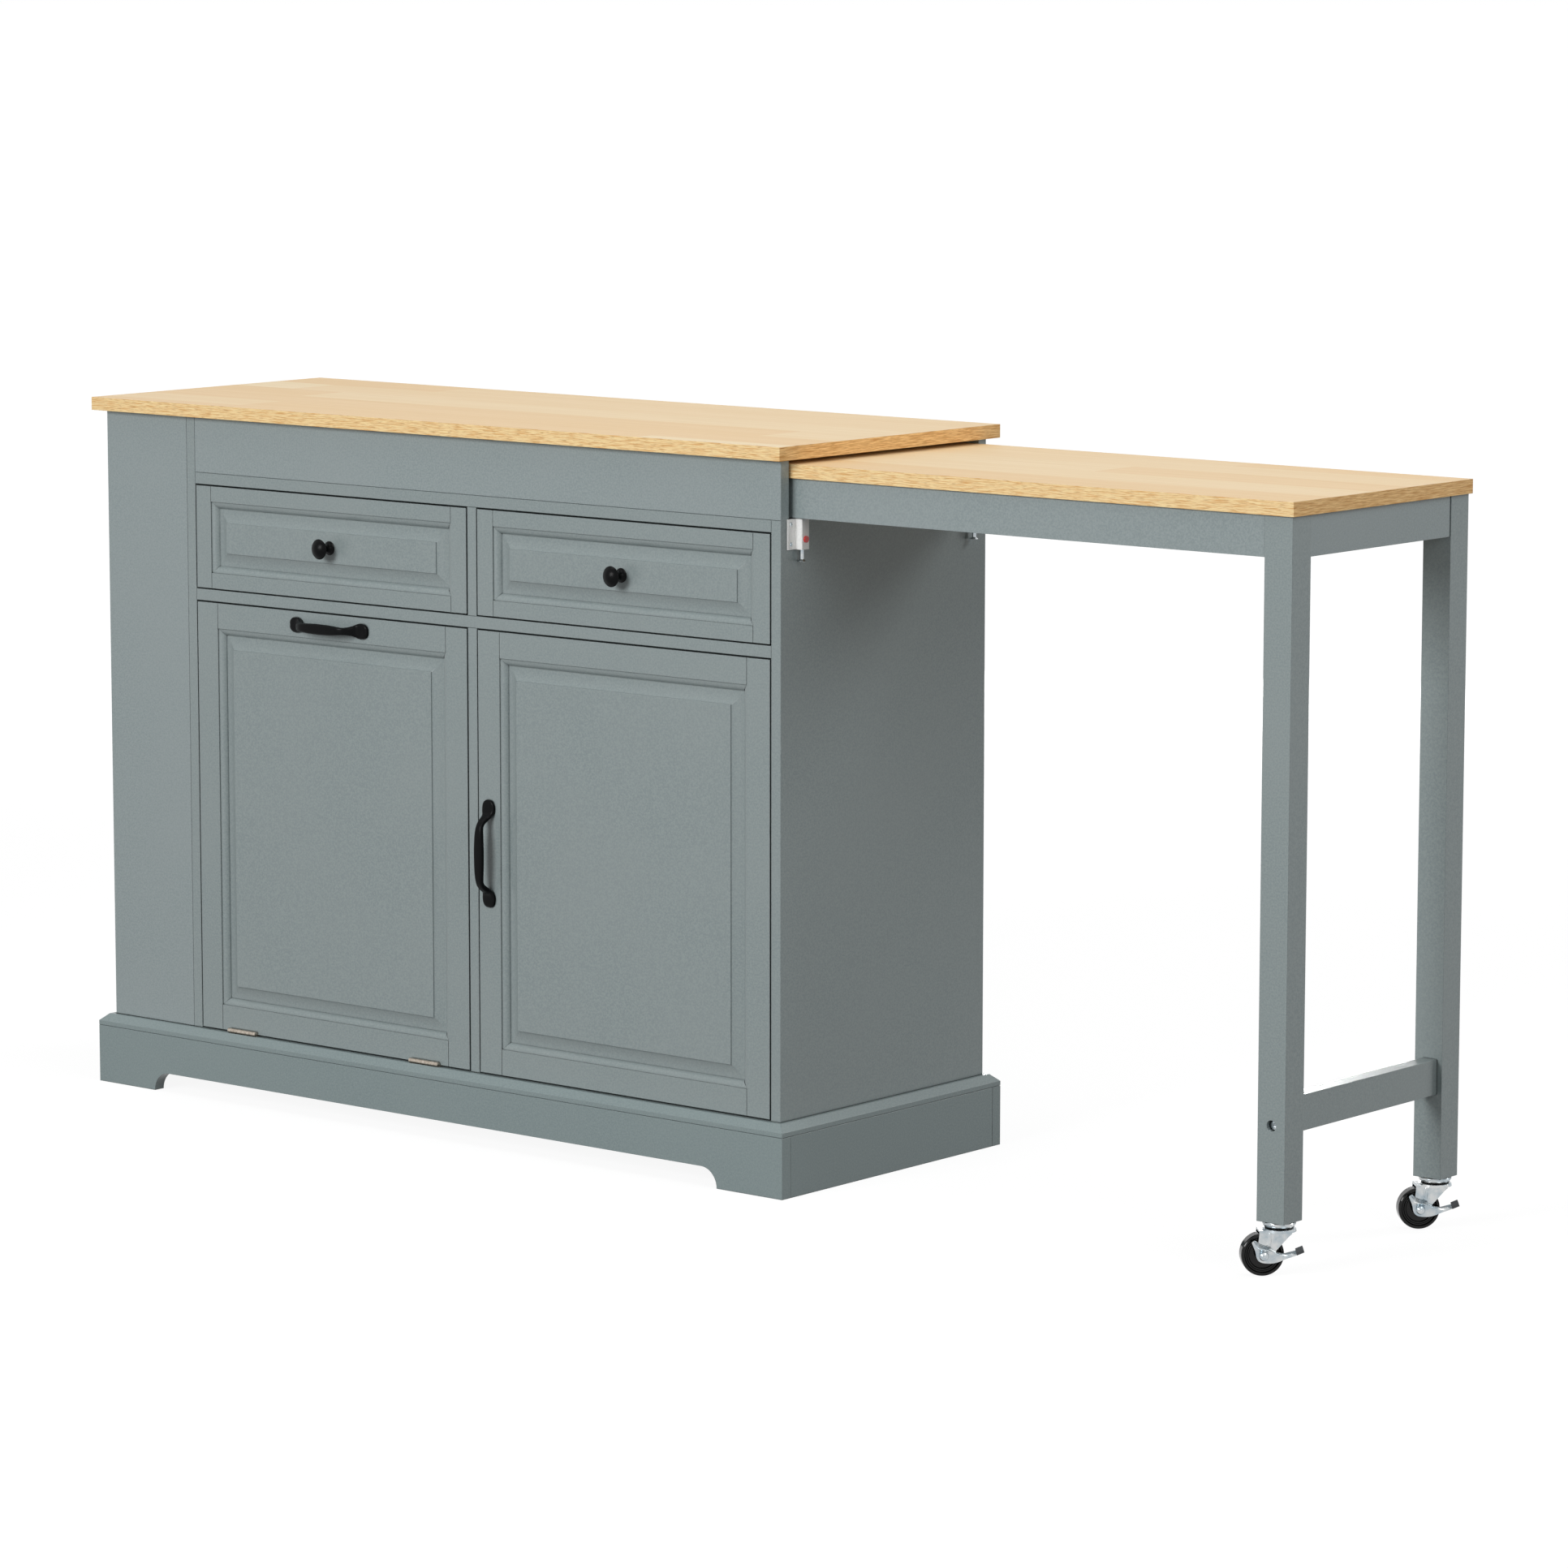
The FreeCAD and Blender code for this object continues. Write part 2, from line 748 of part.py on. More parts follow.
def make_tilt_door(pieces):
    x0, x1, z0, z1 = front_edges(left_bay, floor_top, shelf_bottom)
    pieces["tilt_door_frame"] = make_frame(x0, x1, z0, z1, door_stile, door_rail)
    pieces["tilt_door_panel"] = [make_raised_panel(x0, x1, z0, z1, door_stile, door_rail)]
    pieces["tilt_door_pull"] = [make_pull(Vector((x0 + x1) / 2, 0, z1 - pull_from_top), False)]
    pieces["tilt_door_leaves"] = [make_leaf(start, True) for start in hinge_starts()]
    pieces["tilt_hinge_leaves"] = [make_leaf(start, False) for start in hinge_starts()]
    pieces["bin_frame"] = make_bin_frame()


# Storage door


def hinge_heights():
    return (floor_top + front_gap + hinge_end_inset, shelf_bottom - front_gap - hinge_end_inset)


def make_hinge_cup(z):
    x = right_bay[1] - front_gap - cup_edge - cup_radius
    outer = rod(cup_radius, Vector(x, front_thick - cup_depth, z), Vector(x, front_thick, z))
    floor_y = front_thick - cup_depth + cup_wall
    inner = rod(cup_radius - cup_wall, Vector(x, floor_y, z), Vector(x, front_thick, z))
    return outer, outer.cut(inner)


def make_hinge_arm(z):
    """Mounting plate on the side panel, with an arm cranked round to the link in the cup."""
    wall = right_bay[1]
    cup_x = wall - front_gap - cup_edge - cup_radius
    face = front_thick + arm_play
    low, high = z - arm_width / 2, z + arm_width / 2
    points = [
        Vector(wall, face + link_lift, low),
        Vector(wall, face + arm_length, low),
        Vector(wall - arm_thick - 2, face + arm_length, low),
        Vector(wall - arm_thick - 2, face + arm_thick + 6, low),
        Vector(cup_x - link_thick / 2, face + arm_thick, low),
        Vector(cup_x - link_thick / 2, front_thick - cup_depth + link_lift, low),
        Vector(cup_x + link_thick / 2, front_thick - cup_depth + link_lift, low),
        Vector(cup_x + link_thick / 2, face, low),
        Vector(wall - 6, face, low),
    ]
    return prism(points, Vector(0, 0, high - low))


def make_storage_door(pieces):
    x0, x1, z0, z1 = front_edges(right_bay, floor_top, shelf_bottom)
    frame = make_frame(x0, x1, z0, z1, door_stile, door_rail)
    panel = make_raised_panel(x0, x1, z0, z1, door_stile, door_rail)
    cups = []
    for z in hinge_heights():
        outer, cup = make_hinge_cup(z)
        frame = [piece.cut(outer) for piece in frame]
        panel = panel.cut(outer)
        cups.append(cup)
    pieces["storage_door_frame"] = frame
    pieces["storage_door_panel"] = [panel]
    pieces["storage_door_pull"] = [make_pull(Vector(x0 + door_stile / 2, 0, (z0 + z1) / 2), True)]
    pieces["door_hinge_cups"] = cups
    pieces["door_hinge_arms"] = [make_hinge_arm(z) for z in hinge_heights()]


# Slide-out table


def bolt_holes():
    """Holes in the front rail for the latch bolt, with the table out and with it home."""
    radius = latch_bolt_radius + latch_hole_play
    holes = []
    for x in (latch_bolt_x, latch_bolt_x + table_travel):
        start = Vector(x, latch_bolt_y, rail_bottom)
        holes.append(rod(radius, start, start + Vector(0, 0, latch_hole_depth)))
    return holes


def make_table_rails():
    left = table_left + table_inset
    thick = table_rail_thick
    z0, z1 = rail_bottom, table_under
    front = block(left, leg_left, rail_front, rail_inner, z0, z1)
    for hole in bolt_holes():
        front = front.cut(hole)
    inner_end = block(left, left + thick, rail_inner, cabinet_depth - rail_inner, z0, z1)
    right = leg_right - table_rail_inset
    outer_end = block(right - thick, right, leg_front + leg_depth, leg_back - leg_depth, z0, z1)
    return [front, mirrored_depth(front), inner_end, outer_end]


def make_leg():
    leg = block(leg_left, leg_right, leg_front, leg_front + leg_depth, caster_height, table_under)
    start = Vector(stem_x, leg_front, bolt_height)
    leg = leg.cut(rod(counterbore_radius, start, start + Vector(0, counterbore_depth, 0)))
    leg = leg.cut(rod(bolt_radius, start, start + Vector(0, leg_depth, 0)))
    stem = Vector(stem_x, front_stem_y, caster_height)
    return leg.cut(rod(stem_radius, stem, stem + Vector(0, 0, stem_length)))


def make_stretcher():
    right = leg_right - stretcher_inset
    left = right - stretcher_thick
    top = stretcher_bottom + stretcher_height
    bar = block(left, right, leg_front + leg_depth, leg_back - leg_depth, stretcher_bottom, top)
    for bolt in make_stretcher_bolts():
        bar = bar.cut(bolt)
    return [bar]


def make_stretcher_bolts():
    seat = Vector(stem_x, leg_front + counterbore_depth, bolt_height)
    face = seat - Vector(0, bolt_head_length, 0)
    head = rod(bolt_head_radius, face, seat)
    socket = rod(bolt_head_radius / 2, face, face + Vector(0, bolt_head_length / 2, 0))
    shank = rod(bolt_radius, seat, seat + Vector(0, leg_depth - counterbore_depth + bolt_reach, 0))
    bolt = one_solid(head.cut(socket).fuse(shank))
    return [bolt, mirrored_depth(bolt)]


def make_glides():
    """Nylon pads under the inner ends of the table's long rails."""
    left = table_left + table_inset
    low = deck_top + glide_clearance
    pieces = []
    for x in (left, -glide_length - board):
        pad = block(x, x + glide_length, rail_front, rail_inner, low, rail_bottom)
        pieces += [pad, mirrored_depth(pad)]
    return pieces


def make_table_stops():
    """Blocks on the deck that the table's inner end rail meets when it is fully out."""
    left = table_left + table_inset + table_rail_thick + stop_clearance
    front = rail_inner + table_stop_width / 2
    high = deck_top + table_stop_height
    stop = block(left, left + table_stop_length, front, front + table_stop_width, deck_top, high)
    return [stop, mirrored_depth(stop)]


# Latches


def make_latch_housing():
    front = latch_from_front
    mid = front + latch_flange
    low = latch_top - latch_height
    flange = block(0, latch_flange_thick, front, mid, low, latch_top)
    body = block(0, latch_reach, mid, mid + latch_width, low, latch_top)
    upright = []
    for edge in body.Edges:
        at = edge.CenterOfMass
        if abs(edge.Length - latch_height) < 0.01 and at.x > latch_reach / 2:
            upright.append(edge)
    body = body.makeFillet(latch_corner_radius, upright)
    housing = flange.fuse(body)
    for z in (low + latch_screw_inset, latch_top - latch_screw_inset):
        start = Vector(0, front + latch_flange * 0.4, z)
        housing = housing.cut(rod(latch_screw_radius, start, start + Vector(latch_flange_thick, 0, 0)))
    bolt_low = Vector(latch_bolt_x, latch_bolt_y, low)
    bolt_high = Vector(latch_bolt_x, latch_bolt_y, latch_top)
    housing = housing.cut(rod(latch_bolt_radius + latch_bolt_play, bolt_low, bolt_high))
    button = button_centre()
    room = rod(button_radius + button_play, button, button + Vector(latch_reach, 0, 0))
    return one_solid(housing.cut(room))


def button_centre():
    deep = latch_bolt_x + latch_bolt_radius + latch_bolt_play + button_floor
    return Vector(deep, latch_bolt_y, latch_top - button_drop)


def make_latch_bolt():
    """Round bolt with a mushroom knob at its foot, drawn down clear of the rail."""
    foot = Vector(latch_bolt_x, latch_bolt_y, latch_top - latch_height - latch_bolt_below)
    top = Vector(latch_bolt_x, latch_bolt_y, latch_top)
    shank = rod(latch_bolt_radius, foot, top)
    low = foot - Vector(0, 0, latch_knob_thick)
    knob = Part.makeCone(latch_knob_radius, latch_bolt_radius, latch_knob_thick, low)
    return one_solid(shank.fuse(knob))


def make_latch_button():
    start = button_centre() + Vector(button_travel, 0, 0)
    return rod(button_radius, start, Vector(latch_reach + button_proud, start.y, start.z))


# Casters


def set_caster(shape, front):
    shape.rotate(Vector(0, 0, 0), Vector(0, 0, 1), caster_swivel)
    shape.translate(Vector(stem_x, front_stem_y if front else back_stem_y, 0))
    return shape


def race_bottom():
    return caster_height - race_thick - race_gap


def fork_top():
    return race_bottom() - swivel_clearance


def fork_inner():
    return wheel_width / 2 + hub_proud + wheel_side_play


def make_caster_stem():
    """Threaded stem, upper race and kingpin, fixed to the leg."""
    fork_under = fork_top() - fork_top_thick
    head_top = fork_under - swivel_clearance
    head_low = head_top - kingpin_head_thick
    rim = race_radius
    profile = [
        (0, caster_height + stem_length), (stem_radius, caster_height + stem_length),
        (stem_radius, caster_height), (rim - 1, caster_height), (rim, caster_height - 1),
        (rim, caster_height - 3), (rim - 2, caster_height - race_thick),
        (rim - 4, caster_height - race_thick), (rim - 4, race_bottom()), (kingpin_radius, race_bottom()),
        (kingpin_radius, head_top), (kingpin_head_radius, head_top), (kingpin_head_radius, head_low),
        (0, head_low),
    ]
    points = [Vector(r, 0, z) for r, z in profile]
    return revolve_profile(points, Vector(0, 0, 0), Vector(0, 0, 1))


def make_fork():
    """Stamped fork: round swivel plate, rear shoulder and two cheeks that taper to the axle."""
    top = fork_top()
    under = top - fork_top_thick
    rim = fork_top_radius
    profile = [(0, top), (rim - 4, top), (rim - 0.5, top - 1.5), (rim, under), (0, under)]
    plate = revolve_profile([Vector(r, 0, z) for r, z in profile], Vector(0, 0, 0), Vector(0, 0, 1))
    inner = fork_inner()
    outer = inner + fork_sheet
    axle_x, axle_z = caster_trail, wheel_radius
    shoulder_top = top - 2
    shoulder = block(0, axle_x + 4.5, -outer, outer, under, shoulder_top)
    fork = plate.fuse(shoulder)
    outline = [
        (-13, shoulder_top), (axle_x + 4.5, shoulder_top), (axle_x + 7.2, axle_z + 2.5),
        (axle_x - 5.5, axle_z - 5.1), (-9.3, under - 5), (-13, under - 2),
    ]
    for y in (-outer, inner):
        cheek = prism([Vector(x, y, z) for x, z in outline], Vector(0, fork_sheet, 0))
        boss = rod(7.5, Vector(axle_x, y, axle_z), Vector(axle_x, y + fork_sheet, axle_z))
        fork = fork.fuse(cheek.fuse(boss))
    for side in (-1, 1):
        rib_y = side * (outer - rib_radius + rib_proud)
        rib_low = Vector(axle_x - 5.5, rib_y, axle_z + 10)
        rib_high = Vector(axle_x - 7.5, rib_y, shoulder_top - 2)
        fork = fork.fuse(rod(rib_radius, rib_low, rib_high))
    fork = fork.cut(rod(kingpin_radius + kingpin_play, Vector(0, 0, 0), Vector(0, 0, caster_height)))
    wheel_room = rod(wheel_radius + 1, Vector(axle_x, -inner, axle_z), Vector(axle_x, inner, axle_z))
    fork = fork.cut(wheel_room)
    bore = rod(axle_radius, Vector(axle_x, -outer - 1, axle_z), Vector(axle_x, outer + 1, axle_z))
    return one_solid(fork.cut(bore))


def make_axle():
    """Bolt with a domed head on one side and a cap nut outside the lever on the other."""
    outer = fork_inner() + fork_sheet
    near = outer + 2 * lever_gap + lever_thick
    half = cap_nut_radius
    profile = [
        (0, -outer - 4), (half * 0.7, -outer - 3.4), (half, -outer - 1.6), (half, -outer),
        (axle_radius, -outer), (axle_radius, near), (half, near), (half, near + 2.4),
        (half * 0.82, near + 4.2), (half * 0.45, near + 5.5), (0, near + 5.9),
    ]
    points = [Vector(caster_trail + r, y, wheel_radius) for r, y in profile]
    return revolve_profile(points, Vector(caster_trail, 0, wheel_radius), Vector(0, 1, 0))


def make_wheel():
    """Moulded wheel: rounded tread, dished face, raised ring and a proud hub."""
    half = wheel_width / 2
    bore = axle_radius + axle_play
    r = wheel_radius
    face = [
        (bore, half + hub_proud), (hub_radius, half + hub_proud), (hub_radius, half - 3),
        (r - 9.5, half - 3), (r - 8.5, half - 1.2), (r - 7.2, half - 1.2), (r - 6.2, half - 2.2),
        (r - 5, half - 2.2), (r - 3.6, half), (r - 1.6, half), (r - 0.5, half - 0.7), (r, half - 2.4),
    ]
    points = [Vector(caster_trail + a, y, wheel_radius) for a, y in face]
    points += [Vector(caster_trail + a, -y, wheel_radius) for a, y in reversed(face)]
    return revolve_profile(points, Vector(caster_trail, 0, wheel_radius), Vector(0, 1, 0))


def make_lever():
    """Brake lever outside the cheek: boss on the axle, raised shoe behind, tail with a pad in front."""
    near = fork_inner() + fork_sheet + lever_gap
    far = near + lever_thick
    x, z = caster_trail, wheel_radius
    outline = [
        (x + 4, z + 7), (x - 4, z + 7.4), (x - 13, z + 5.4), (x - 24, z + 2.2), (x - 26, z - 1),
        (x - 21, z - 4.6), (x - 13.5, z - 7.2), (x - 2, z - 7.9),
    ]
    plate = prism([Vector(a, near, b) for a, b in outline], Vector(0, lever_thick, 0))
    lever = plate.fuse(rod(lever_boss_radius, Vector(x, near, z), Vector(x, far, z)))
    shoe = [(14, 16.8, 10.6, 18), (7, 9.6, 3.6, 12), (-2, 6.6, -5, 8.4), (-13, 4.6, -13, 4.8)]
    wires = []
    for near_x, near_z, far_x, far_z in shoe:
        high = Vector(x + near_x, near + 5, z + near_z)
        low = Vector(x + far_x, near + rib_proud + 0.2, z + far_z)
        sheet = Vector(0, 0, 1.6)
        wires.append(Part.makePolygon([high, low, low - sheet, high - sheet, high]))
    lever = lever.fuse(Part.makeLoft(wires, True, True))
    tail = [(x - 24, z + 0.6), (x - 33, z + 1.8), (x - 40, z + 3.8), (x - 45.5, z + 6.4)]
    for (ax, az), (bx, bz) in zip(tail, tail[1:]):
        corners = [(ax, az - 1), (bx, bz - 1), (bx, bz + 1), (ax, az + 1)]
        lever = lever.fuse(prism([Vector(a, near - 2, b) for a, b in corners], Vector(0, 9, 0)))
    pad = [(x - 37, z + 3.6), (x - 45.5, z + 7), (x - 43.8, z + 10.6), (x - 36, z + 7.6)]
    lever = lever.fuse(prism([Vector(a, near - 2.4, b) for a, b in pad], Vector(0, 9.8, 0)))
    hole = rod(axle_radius + axle_play, Vector(x, near - 1, z), Vector(x, far + 1, z))
    return one_solid(lever.cut(hole))


# All the pieces


def make_pieces():
    fascia = make_fascia()
    rack_board = make_rack_board()
    plinth_front = make_plinth_front()
    leg = make_leg()
    housing = make_latch_housing()
    pieces = {
        "worktop": make_worktop(),
        "front_fascia": [fascia],
        "back_fascia": [mirrored_depth(fascia)],
        "rack_face_boards": [rack_board, mirrored_depth(rack_board)],
        "left_inner_panel": make_inner_panel(),
        "right_side_panel": make_side_panel(),
        "centre_dividers": make_dividers(),
        "table_deck": make_deck(),
        "drawer_shelf": make_drawer_shelf(),
        "cabinet_floor": make_floor(),
        "back_panel": make_back_panel(),
        "storage_shelf": make_storage_shelf(),
        "side_rack": make_side_rack(),
        "plinth_front": [plinth_front],
        "plinth_back": [mirrored_depth(plinth_front)],
        "plinth_ends": make_plinth_ends(),
        "plinth_blocks": make_plinth_blocks(),
        "plinth_cap": make_plinth_cap(),
        "stop_blocks": make_table_stops() + make_tilt_stops(),
        "latch_housings": [housing, mirrored_depth(housing)],
        "drawer_slides": make_slide_rails(),
        "table_top": [block(table_left, table_reach, table_front, table_back, table_under, table_top_z)],
        "table_rails": make_table_rails(),
        "table_leg_front": [leg],
        "table_leg_back": [mirrored_depth(leg)],
        "leg_stretcher": make_stretcher(),
        "stretcher_bolts": make_stretcher_bolts(),
        "table_glides": make_glides(),
        "caster_stems": [set_caster(make_caster_stem(), front) for front in (True, False)],
    }
    for side, bay in (("left", left_bay), ("right", right_bay)):
        make_drawer(bay, pieces, side)
    make_tilt_door(pieces)
    make_storage_door(pieces)
    for name, front in (("front", True), ("back", False)):
        pieces["caster_fork_" + name] = [set_caster(make_fork(), front)]
        pieces["caster_axle_" + name] = [set_caster(make_axle(), front)]
        pieces["caster_wheel_" + name] = [set_caster(make_wheel(), front)]
        pieces["brake_lever_" + name] = [set_caster(make_lever(), front)]
        bolt = make_latch_bolt()
        button = make_latch_button()
        pieces["latch_bolt_" + name] = [bolt if front else mirrored_depth(bolt)]
        pieces["latch_button_" + name] = [button if front else mirrored_depth(button)]
    return pieces


def footprint_middle(pieces):
    """Middle of the space that the whole island takes up in its rest pose, table out."""
    left = pieces["worktop"][0].BoundBox.XMin
    right = max(vertex.X for vertex in pieces["brake_lever_front"][0].Vertexes)
    front = field_setback - knob_reach
    back = pieces["worktop"][0].BoundBox.YMax
    return Vector((left + right) / 2, (front + back) / 2, 0)


def main():
    os.makedirs("parts", exist_ok=True)
    pieces = make_pieces()
    middle = footprint_middle(pieces)
    for name, shapes in pieces.items():
        solids = [solid for shape in shapes for solid in shape.Solids]
        shape = solids[0] if len(solids) == 1 else Part.makeCompound(solids)
        shape.translate(middle * -1)
        shape.exportStep("parts/" + name + ".step")
    print("pieces", len(pieces), "middle", round(middle.x, 4), round(middle.y, 4))


main()
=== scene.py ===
# Kitchen island with a slide-out table on braked casters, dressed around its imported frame.
import json
import math

import bmesh
import bpy
from mathutils import Matrix, Vector


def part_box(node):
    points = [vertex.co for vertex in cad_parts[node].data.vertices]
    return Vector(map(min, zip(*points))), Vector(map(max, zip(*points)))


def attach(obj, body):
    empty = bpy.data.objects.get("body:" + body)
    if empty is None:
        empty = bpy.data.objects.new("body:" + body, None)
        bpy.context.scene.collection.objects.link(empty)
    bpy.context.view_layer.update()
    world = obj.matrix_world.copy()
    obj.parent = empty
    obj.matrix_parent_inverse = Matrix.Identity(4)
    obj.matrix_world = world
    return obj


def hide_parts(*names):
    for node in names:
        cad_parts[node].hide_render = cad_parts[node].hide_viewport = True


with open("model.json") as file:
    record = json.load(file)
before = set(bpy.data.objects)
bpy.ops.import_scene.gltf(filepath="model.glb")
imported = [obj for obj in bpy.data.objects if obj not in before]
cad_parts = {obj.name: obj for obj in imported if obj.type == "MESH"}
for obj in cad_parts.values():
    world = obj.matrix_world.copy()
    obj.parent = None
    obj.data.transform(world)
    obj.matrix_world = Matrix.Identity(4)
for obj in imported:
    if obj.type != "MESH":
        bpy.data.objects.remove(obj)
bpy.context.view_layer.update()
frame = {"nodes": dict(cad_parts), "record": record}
nodes = frame["nodes"]
print("frame loaded:", len(nodes), "nodes")


def linear(hexText):
    values = [int(hexText[i : i + 2], 16) / 255 for i in (1, 3, 5)]
    return [v / 12.92 if v <= 0.04045 else ((v + 0.055) / 1.055) ** 2.4 for v in values] + [1.0]


def mm(*values):
    scaled = [v / 1000 for v in values]
    return scaled[0] if len(scaled) == 1 else Vector(scaled)


def addNode(tree, kind, settings=None, inputs=None):
    node = tree.nodes.new(kind)
    for name, value in (settings or {}).items():
        if name == "ramp":  # list of (place, hex colour)
            while len(node.color_ramp.elements) < len(value):
                node.color_ramp.elements.new(1.0)
            for element, (place, colour) in zip(node.color_ramp.elements, value):
                element.position = place
                element.color = linear(colour)
        else:
            setattr(node, name, value)
    for name, value in (inputs or {}).items():
        if isinstance(value, bpy.types.NodeSocket):
            tree.links.new(value, node.inputs[name])
        else:
            node.inputs[name].default_value = value
    return node


def maths(tree, operation, *values):
    node = addNode(tree, "ShaderNodeMath", {"operation": operation}, dict(enumerate(values)))
    return node.outputs[0]


def ranged(tree, value, start, end, low=0.0, high=1.0, kind="LINEAR"):
    limits = {"From Min": start, "From Max": end, "To Min": low, "To Max": high}
    node = addNode(tree, "ShaderNodeMapRange", {"interpolation_type": kind},
                   {"Value": value, **limits})
    return node.outputs[0]


def mixed(tree, share, one, two):
    node = addNode(tree, "ShaderNodeMix", {"data_type": "RGBA"}, {0: share, 6: one, 7: two})
    return node.outputs[2]


def ramped(tree, share, stops):
    return addNode(tree, "ShaderNodeValToRGB", {"ramp": stops}, {"Fac": share}).outputs[0]


def noise(tree, place, width, detail):
    node = addNode(tree, "ShaderNodeTexNoise", None,
                   {"Vector": place, "Scale": 1000 / width, "Detail": detail})
    return node.outputs["Fac"]


def combined(tree, *values):
    return addNode(tree, "ShaderNodeCombineXYZ", None, dict(enumerate(values))).outputs[0]


def newMaterial(name):
    material = bpy.data.materials.new(name)
    material.use_nodes = True
    tree = material.node_tree
    tree.nodes.clear()
    return material, tree


def closeMaterial(tree, shader):
    addNode(tree, "ShaderNodeOutputMaterial", None, {"Surface": shader.outputs[0]})


# Camera: the photograph's viewpoint, in metres and degrees
camera = {
    "place": (4.768, -5.714, 1.547),
    "yaw": 39.516,
    "pitch": 8.272,
    "roll": 0.038,
    "focalPixels": 7395.7,
    "picturePixels": 1932,
    "sensor": 36.0,
    "farthest": 100,
}


def placeCamera():
    yaw, pitch, roll = (math.radians(camera[k]) for k in ("yaw", "pitch", "roll"))
    ahead = Vector((-math.sin(yaw) * math.cos(pitch), math.cos(yaw) * math.cos(pitch),
                    -math.sin(pitch)))
    level = Vector((math.cos(yaw), math.sin(yaw), 0))
    above = level.cross(ahead)
    right = level * math.cos(roll) + above * math.sin(roll)
    up = above * math.cos(roll) - level * math.sin(roll)
    data = bpy.data.cameras.new("camera")
    data.sensor_width = camera["sensor"]
    data.lens = camera["focalPixels"] / camera["picturePixels"] * camera["sensor"]
    data.clip_end = camera["farthest"]
    seen = bpy.data.objects.new("camera", data)
    bpy.context.scene.collection.objects.link(seen)
    turn = Matrix((right, up, -ahead)).transposed()
    seen.matrix_world = Matrix.Translation(camera["place"]) @ turn.to_4x4()
    bpy.context.scene.camera = seen


placeCamera()
print("camera placed")

# Studio: white surroundings, a large soft lamp at the front left, weaker ones above, right, behind
studio = {
    "around": 0.11,
    "lamps": [  # name, place and aim in metres, size, power
        ("frontLamp", (-0.4, -6.4, 2.8), (-0.1, 0.0, 0.5), 2.6, 296),
        ("topLamp", (-0.7, -0.3, 4.8), (-0.2, 0.0, 0.9), 3.0, 60),
        ("rightLamp", (4.2, -1.1, 2.5), (0.2, 0.0, 0.5), 2.2, 46),
        ("backLamp", (3.6, 5.0, 4.3), (0.0, 0.0, 0.5), 2.4, 145),
        # stands lower than the tops, to fill the back and the left end without a glare on the wood
        ("rearLamp", (-2.4, 4.2, 0.46), (-0.2, 0.0, 0.46), 0.7, 60),
    ],
    "floorColour": "#6A6A6A",
    "floorGlow": (0.91, 1.0),  # near the island, where its shadow falls, and out to the horizon
    "floorFade": (2.5, 6.0),
    "floorSize": 400.0,
    "floorDrop": 0.5,  # mm below the wheels
}


def whiteForCamera(tree):
    path = addNode(tree, "ShaderNodeLightPath").outputs
    seen = maths(tree, "MAXIMUM", path["Is Camera Ray"], path["Is Glossy Ray"])
    return maths(tree, "MAXIMUM", seen, path["Is Transmission Ray"])


def lightStudio():
    world = bpy.data.worlds.new("studio")
    bpy.context.scene.world = world
    world.use_nodes = True
    tree = world.node_tree
    tree.nodes.clear()
    strength = ranged(tree, whiteForCamera(tree), 0.0, 1.0, studio["around"], 1.0)
    shell = addNode(tree, "ShaderNodeBackground", None,
                    {"Color": (1, 1, 1, 1), "Strength": strength})
    addNode(tree, "ShaderNodeOutputWorld", None, {"Surface": shell.outputs[0]})

    for name, place, aim, size, power in studio["lamps"]:
        data = bpy.data.lights.new(name, "AREA")
        data.shape = "SQUARE"
        data.size = size
        data.energy = power
        lamp = bpy.data.objects.new(name, data)
        bpy.context.scene.collection.objects.link(lamp)
        lamp.location = place
        toward = Vector(aim) - lamp.location
        lamp.rotation_euler = toward.to_track_quat("-Z", "Y").to_euler()


def layFloor():
    material, tree = newMaterial("paleFloor")
    place = addNode(tree, "ShaderNodeTexCoord").outputs["Object"]
    away = addNode(tree, "ShaderNodeVectorMath", {"operation": "LENGTH"}, {0: place})
    fade = ranged(tree, away.outputs["Value"], *studio["floorFade"], *studio["floorGlow"],
                  "SMOOTHSTEP")
    glow = maths(tree, "MULTIPLY", whiteForCamera(tree), fade)
    matte = addNode(tree, "ShaderNodeBsdfDiffuse", None, {"Color": linear(studio["floorColour"])})
    shine = addNode(tree, "ShaderNodeEmission", None, {"Strength": glow})
    both = addNode(tree, "ShaderNodeAddShader", None, {0: matte.outputs[0], 1: shine.outputs[0]})
    closeMaterial(tree, both)
    half = studio["floorSize"] / 2
    corners = [(-half, -half, 0), (half, -half, 0), (half, half, 0), (-half, half, 0)]
    mesh = bpy.data.meshes.new("floor")
    mesh.from_pydata(corners, [], [(0, 1, 2, 3)])
    floor = bpy.data.objects.new("floor", mesh)
    bpy.context.scene.collection.objects.link(floor)
    floor.location.z = mm(-studio["floorDrop"])
    mesh.materials.append(material)


lightStudio()
layFloor()
print("studio lit")

# What every finish of the object shares
surface = {
    "edgeSamples": 6,
    "contrast": (0.35, 0.65),  # the middle of a noise, over which its two colours blend
    "ior": 1.5,
    "metallic": 0.0,
}

# Satin acrylic paint sprayed on MDF: even grey-blue, fine orange peel, arrises softened by the
# film, and painted shade in its joints
paint = {
    **surface,
    "colour": "#949F9F",
    "speckle": "#869293",
    "speckleWidth": 2.2,  # true orange peel is near 1 mm; drawn at 2.2 mm so that it shows
    "speckleDetail": 2.0,
    "cloud": "#949D9D",
    "cloudWidth": 180.0,
    "cloudDetail": 3.0,
    "cloudShare": 0.35,
    "bump": 0.5,
    "bumpHeight": 0.05,
    "arris": 0.8,
    "roughness": 0.3,
    "roughnessSwing": 0.05,
    "ior": 1.47,
    "paintedJointShade": "#15191A",  # painted shade, darkest in the hairline joints and recesses that ambient occlusion finds
    "creviceReach": 2.5,
    "creviceShade": (0.4, 0.86),
}


